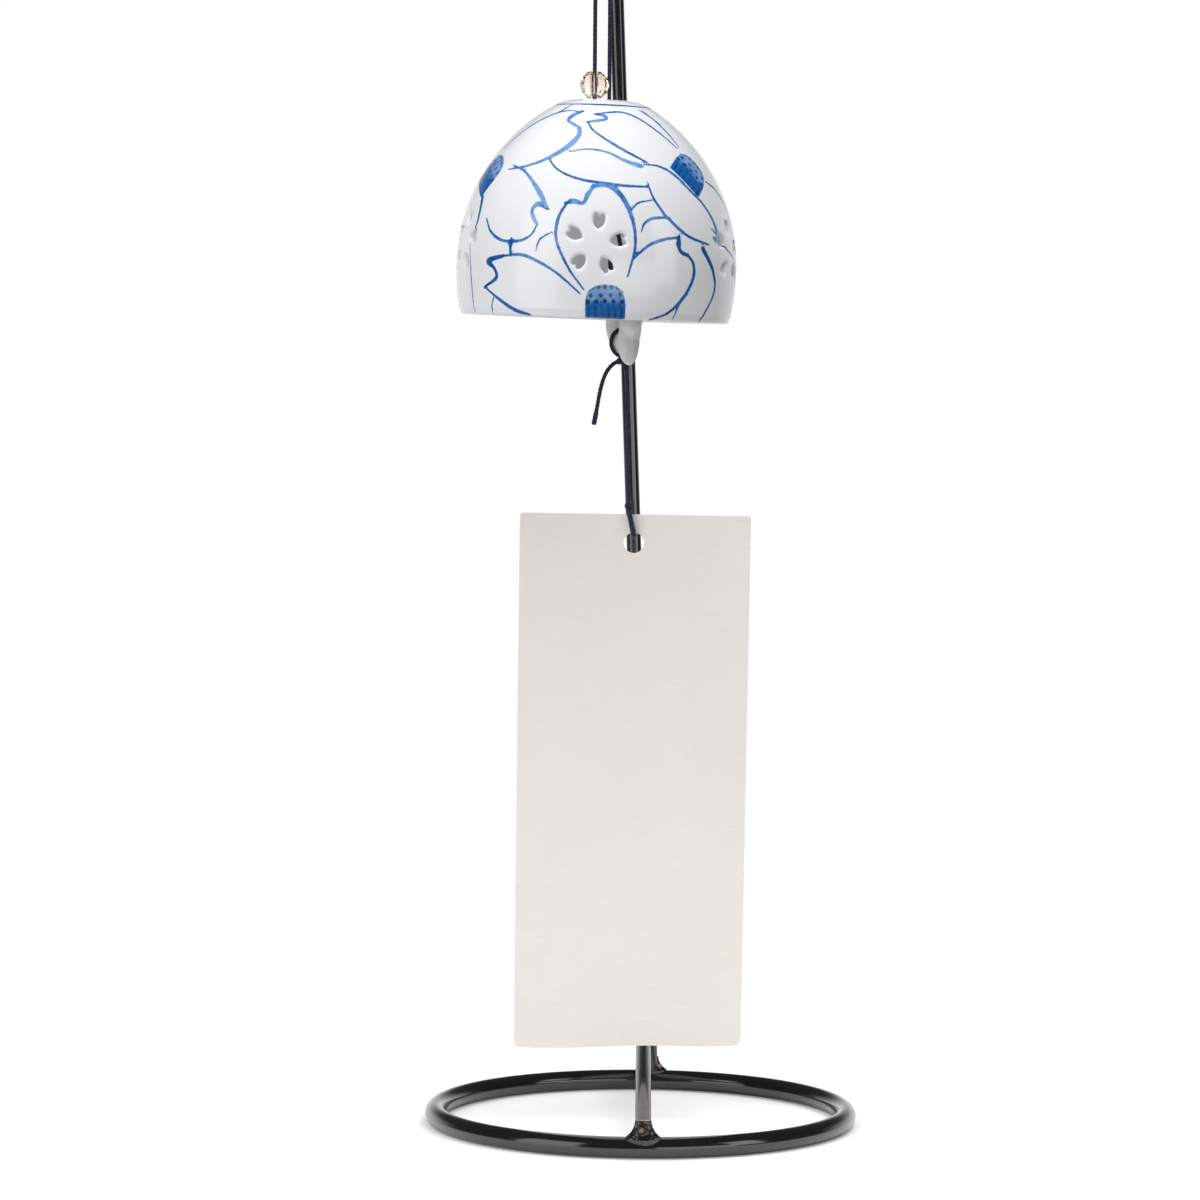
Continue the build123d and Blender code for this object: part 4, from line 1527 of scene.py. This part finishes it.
class WINDBELL_OT_stage(bpy.types.Operator):
    """Set up the camera, the lamps, the pale floor and the white surround"""

    bl_idname = "windbell.stage"
    bl_label = "Stage"

    def execute(self, context):
        stage = context.scene.windbell_stage
        context.scene.view_settings.view_transform = "Standard"
        self.camera(context, stage)
        self.lamp("key", (-0.72, -0.64, 0.36), (0, 0, 0.36), 0.6, 1.0, 2.5)
        self.lamp("top", (0.3, -0.22, 1.18), (0, 0, 0.2), 0.9, 0.9, 7.9, mirrored=False)
        self.lamp("back", (0.4, 0.9, 0.85), (0, 0, 0.25), 0.8, 0.8, 3.0, mirrored=False)
        self.lamp("front", (-0.5, -1.0, 0.9), (0, 0, 0.15), 1.0, 0.5, 5.3, mirrored=False)
        self.lamp("edge", (0.75, -0.45, 0.4), (0, 0, 0.3), 0.3, 0.6, 0.9, lights=False)
        self.lamp("sheen", (0.5, -0.85, 0.13), (0, 0, 0.13), 0.75, 0.26, 0.9, lights=False)
        self.surround(context)
        self.floor(stage)
        return {"FINISHED"}

    def camera(self, context, stage):
        ahead = Vector(
            (
                math.sin(stage.yaw) * math.cos(stage.pitch),
                math.cos(stage.yaw) * math.cos(stage.pitch),
                -math.sin(stage.pitch),
            )
        )
        level = Vector((math.cos(stage.yaw), -math.sin(stage.yaw), 0))
        upward = level.cross(ahead)
        right = math.cos(stage.roll) * level + math.sin(stage.roll) * upward
        up = math.cos(stage.roll) * upward - math.sin(stage.roll) * level
        data = bpy.data.cameras.new("camera")
        data.lens = stage.lens
        data.sensor_width = SENSOR_WIDTH
        data.clip_start = 0.01
        camera = bpy.data.objects.new("camera", data)
        context_collection().objects.link(camera)
        turn = Matrix((right, up, -ahead)).transposed().to_4x4()
        camera.matrix_world = Matrix.Translation(stage.camera) @ turn
        context.scene.camera = camera

    def lamp(self, name, location, target, width, height, power, mirrored=True, lights=True):
        data = bpy.data.lights.new(name, "AREA")
        data.shape = "RECTANGLE"
        data.size = width
        data.size_y = height
        data.energy = power
        lamp = bpy.data.objects.new(name, data)
        lamp.location = location
        lamp.rotation_euler = aim(location, target)
        lamp.visible_glossy = mirrored
        lamp.visible_diffuse = lights
        context_collection().objects.link(lamp)

    def surround(self, context):
        """White to the camera; to glass and enamel a studio, white behind and below and dim overhead."""
        world = bpy.data.worlds.new("surround")
        context.scene.world = world
        world.use_nodes = True
        tree = world.node_tree
        background = tree.nodes["Background"]
        background.inputs["Color"].default_value = (1, 1, 1, 1)
        heading = add(tree, "ShaderNodeSeparateXYZ")
        tree.links.new(add(tree, "ShaderNodeTexCoord").outputs["Generated"], heading.inputs[0])
        behind = ramp(tree, heading.outputs["Y"], 0.3, 0.85)
        backdrop = maths(tree, "MULTIPLY", behind, ramp(tree, heading.outputs["Z"], 0.05, 0.4, 0.8, 0))
        ahead = ramp(tree, heading.outputs["Y"], -0.7, 0.1, 0.15, 1.0)
        ground = maths(tree, "MULTIPLY", ahead, ramp(tree, heading.outputs["Z"], -0.2, 0.0, 0.5, 0))
        mirrored = maths(tree, "ADD", 0.05, maths(tree, "MAXIMUM", backdrop, ground))
        through = maths(tree, "ADD", 0.6, maths(tree, "MULTIPLY", behind, 0.4))
        path = add(tree, "ShaderNodeLightPath")
        sides = ramp(tree, heading.outputs["X"], -0.9, 0.9, 0.54, 0.26)
        diffuse = maths(tree, "MULTIPLY", sides, ramp(tree, heading.outputs["Z"], -0.5, 0.3, 0.3, 1.0))
        strength = choose(tree, path.outputs["Is Glossy Ray"], mirrored, diffuse)
        strength = choose(tree, path.outputs["Is Transmission Ray"], through, strength)
        strength = choose(tree, path.outputs["Is Camera Ray"], 1.0, strength)
        tree.links.new(strength, background.inputs["Strength"])

    def floor(self, stage):
        """A pale disc that carries the shadow and fades into the white surround."""
        deselect()
        bpy.ops.mesh.primitive_circle_add(vertices=96, radius=0.6, fill_type="NGON", location=(0, 0, -0.0002))
        floor = settle(named("floor"))
        material, tree, shader = new_material("pale_floor")
        fill(tree, shader, Base_Color=stage.floor, Roughness=0.6, Specular_IOR_Level=0.1)
        path = add(tree, "ShaderNodeLightPath")
        bounced = maths(tree, "MULTIPLY", path.outputs["Is Diffuse Ray"], 0.2)
        lift = choose(tree, path.outputs["Is Camera Ray"], 0.26, bounced)
        fill(tree, shader, Emission_Color=(1, 1, 1), Emission_Strength=lift)
        reach = add(tree, "ShaderNodeVectorMath", operation="LENGTH")
        feed(tree, reach.inputs[0], object_coordinates(tree))
        fill(tree, shader, Alpha=ramp(tree, reach.outputs["Value"], 0.10, 0.34, 1, 0))
        floor.data.materials.append(material)


class WINDBELL_PT_panel(bpy.types.Panel):
    """Lists the pieces of the wind bell"""

    bl_idname = "WINDBELL_PT_panel"
    bl_label = "Wind bell"
    bl_space_type = "VIEW_3D"
    bl_region_type = "UI"
    bl_category = "Wind Bell"

    def draw(self, context):
        for operator in OPERATORS:
            self.layout.operator(operator.bl_idname)


OPERATORS = (
    WINDBELL_OT_stage,
    WINDBELL_OT_stand,
    WINDBELL_OT_welds,
    WINDBELL_OT_cords,
    WINDBELL_OT_bead,
    WINDBELL_OT_bell,
    WINDBELL_OT_clapper,
    WINDBELL_OT_strip,
)


def register():
    for settings in SETTINGS.values():
        bpy.utils.register_class(settings)
    for name, settings in SETTINGS.items():
        setattr(bpy.types.Scene, name, PointerProperty(type=settings))
    for operator in OPERATORS:
        bpy.utils.register_class(operator)
    bpy.utils.register_class(WINDBELL_PT_panel)


def unregister():
    bpy.utils.unregister_class(WINDBELL_PT_panel)
    for operator in reversed(OPERATORS):
        bpy.utils.unregister_class(operator)
    for name in SETTINGS:
        delattr(bpy.types.Scene, name)
    for settings in reversed(SETTINGS.values()):
        bpy.utils.unregister_class(settings)


def main():
    register()
    bpy.ops.windbell.stage()
    bpy.ops.windbell.stand()
    bpy.ops.windbell.welds()
    bpy.ops.windbell.cords()
    bpy.ops.windbell.bead()
    bpy.ops.windbell.bell()
    bpy.ops.windbell.clapper()
    bpy.ops.windbell.strip()


if __name__ == "__main__":
    main()
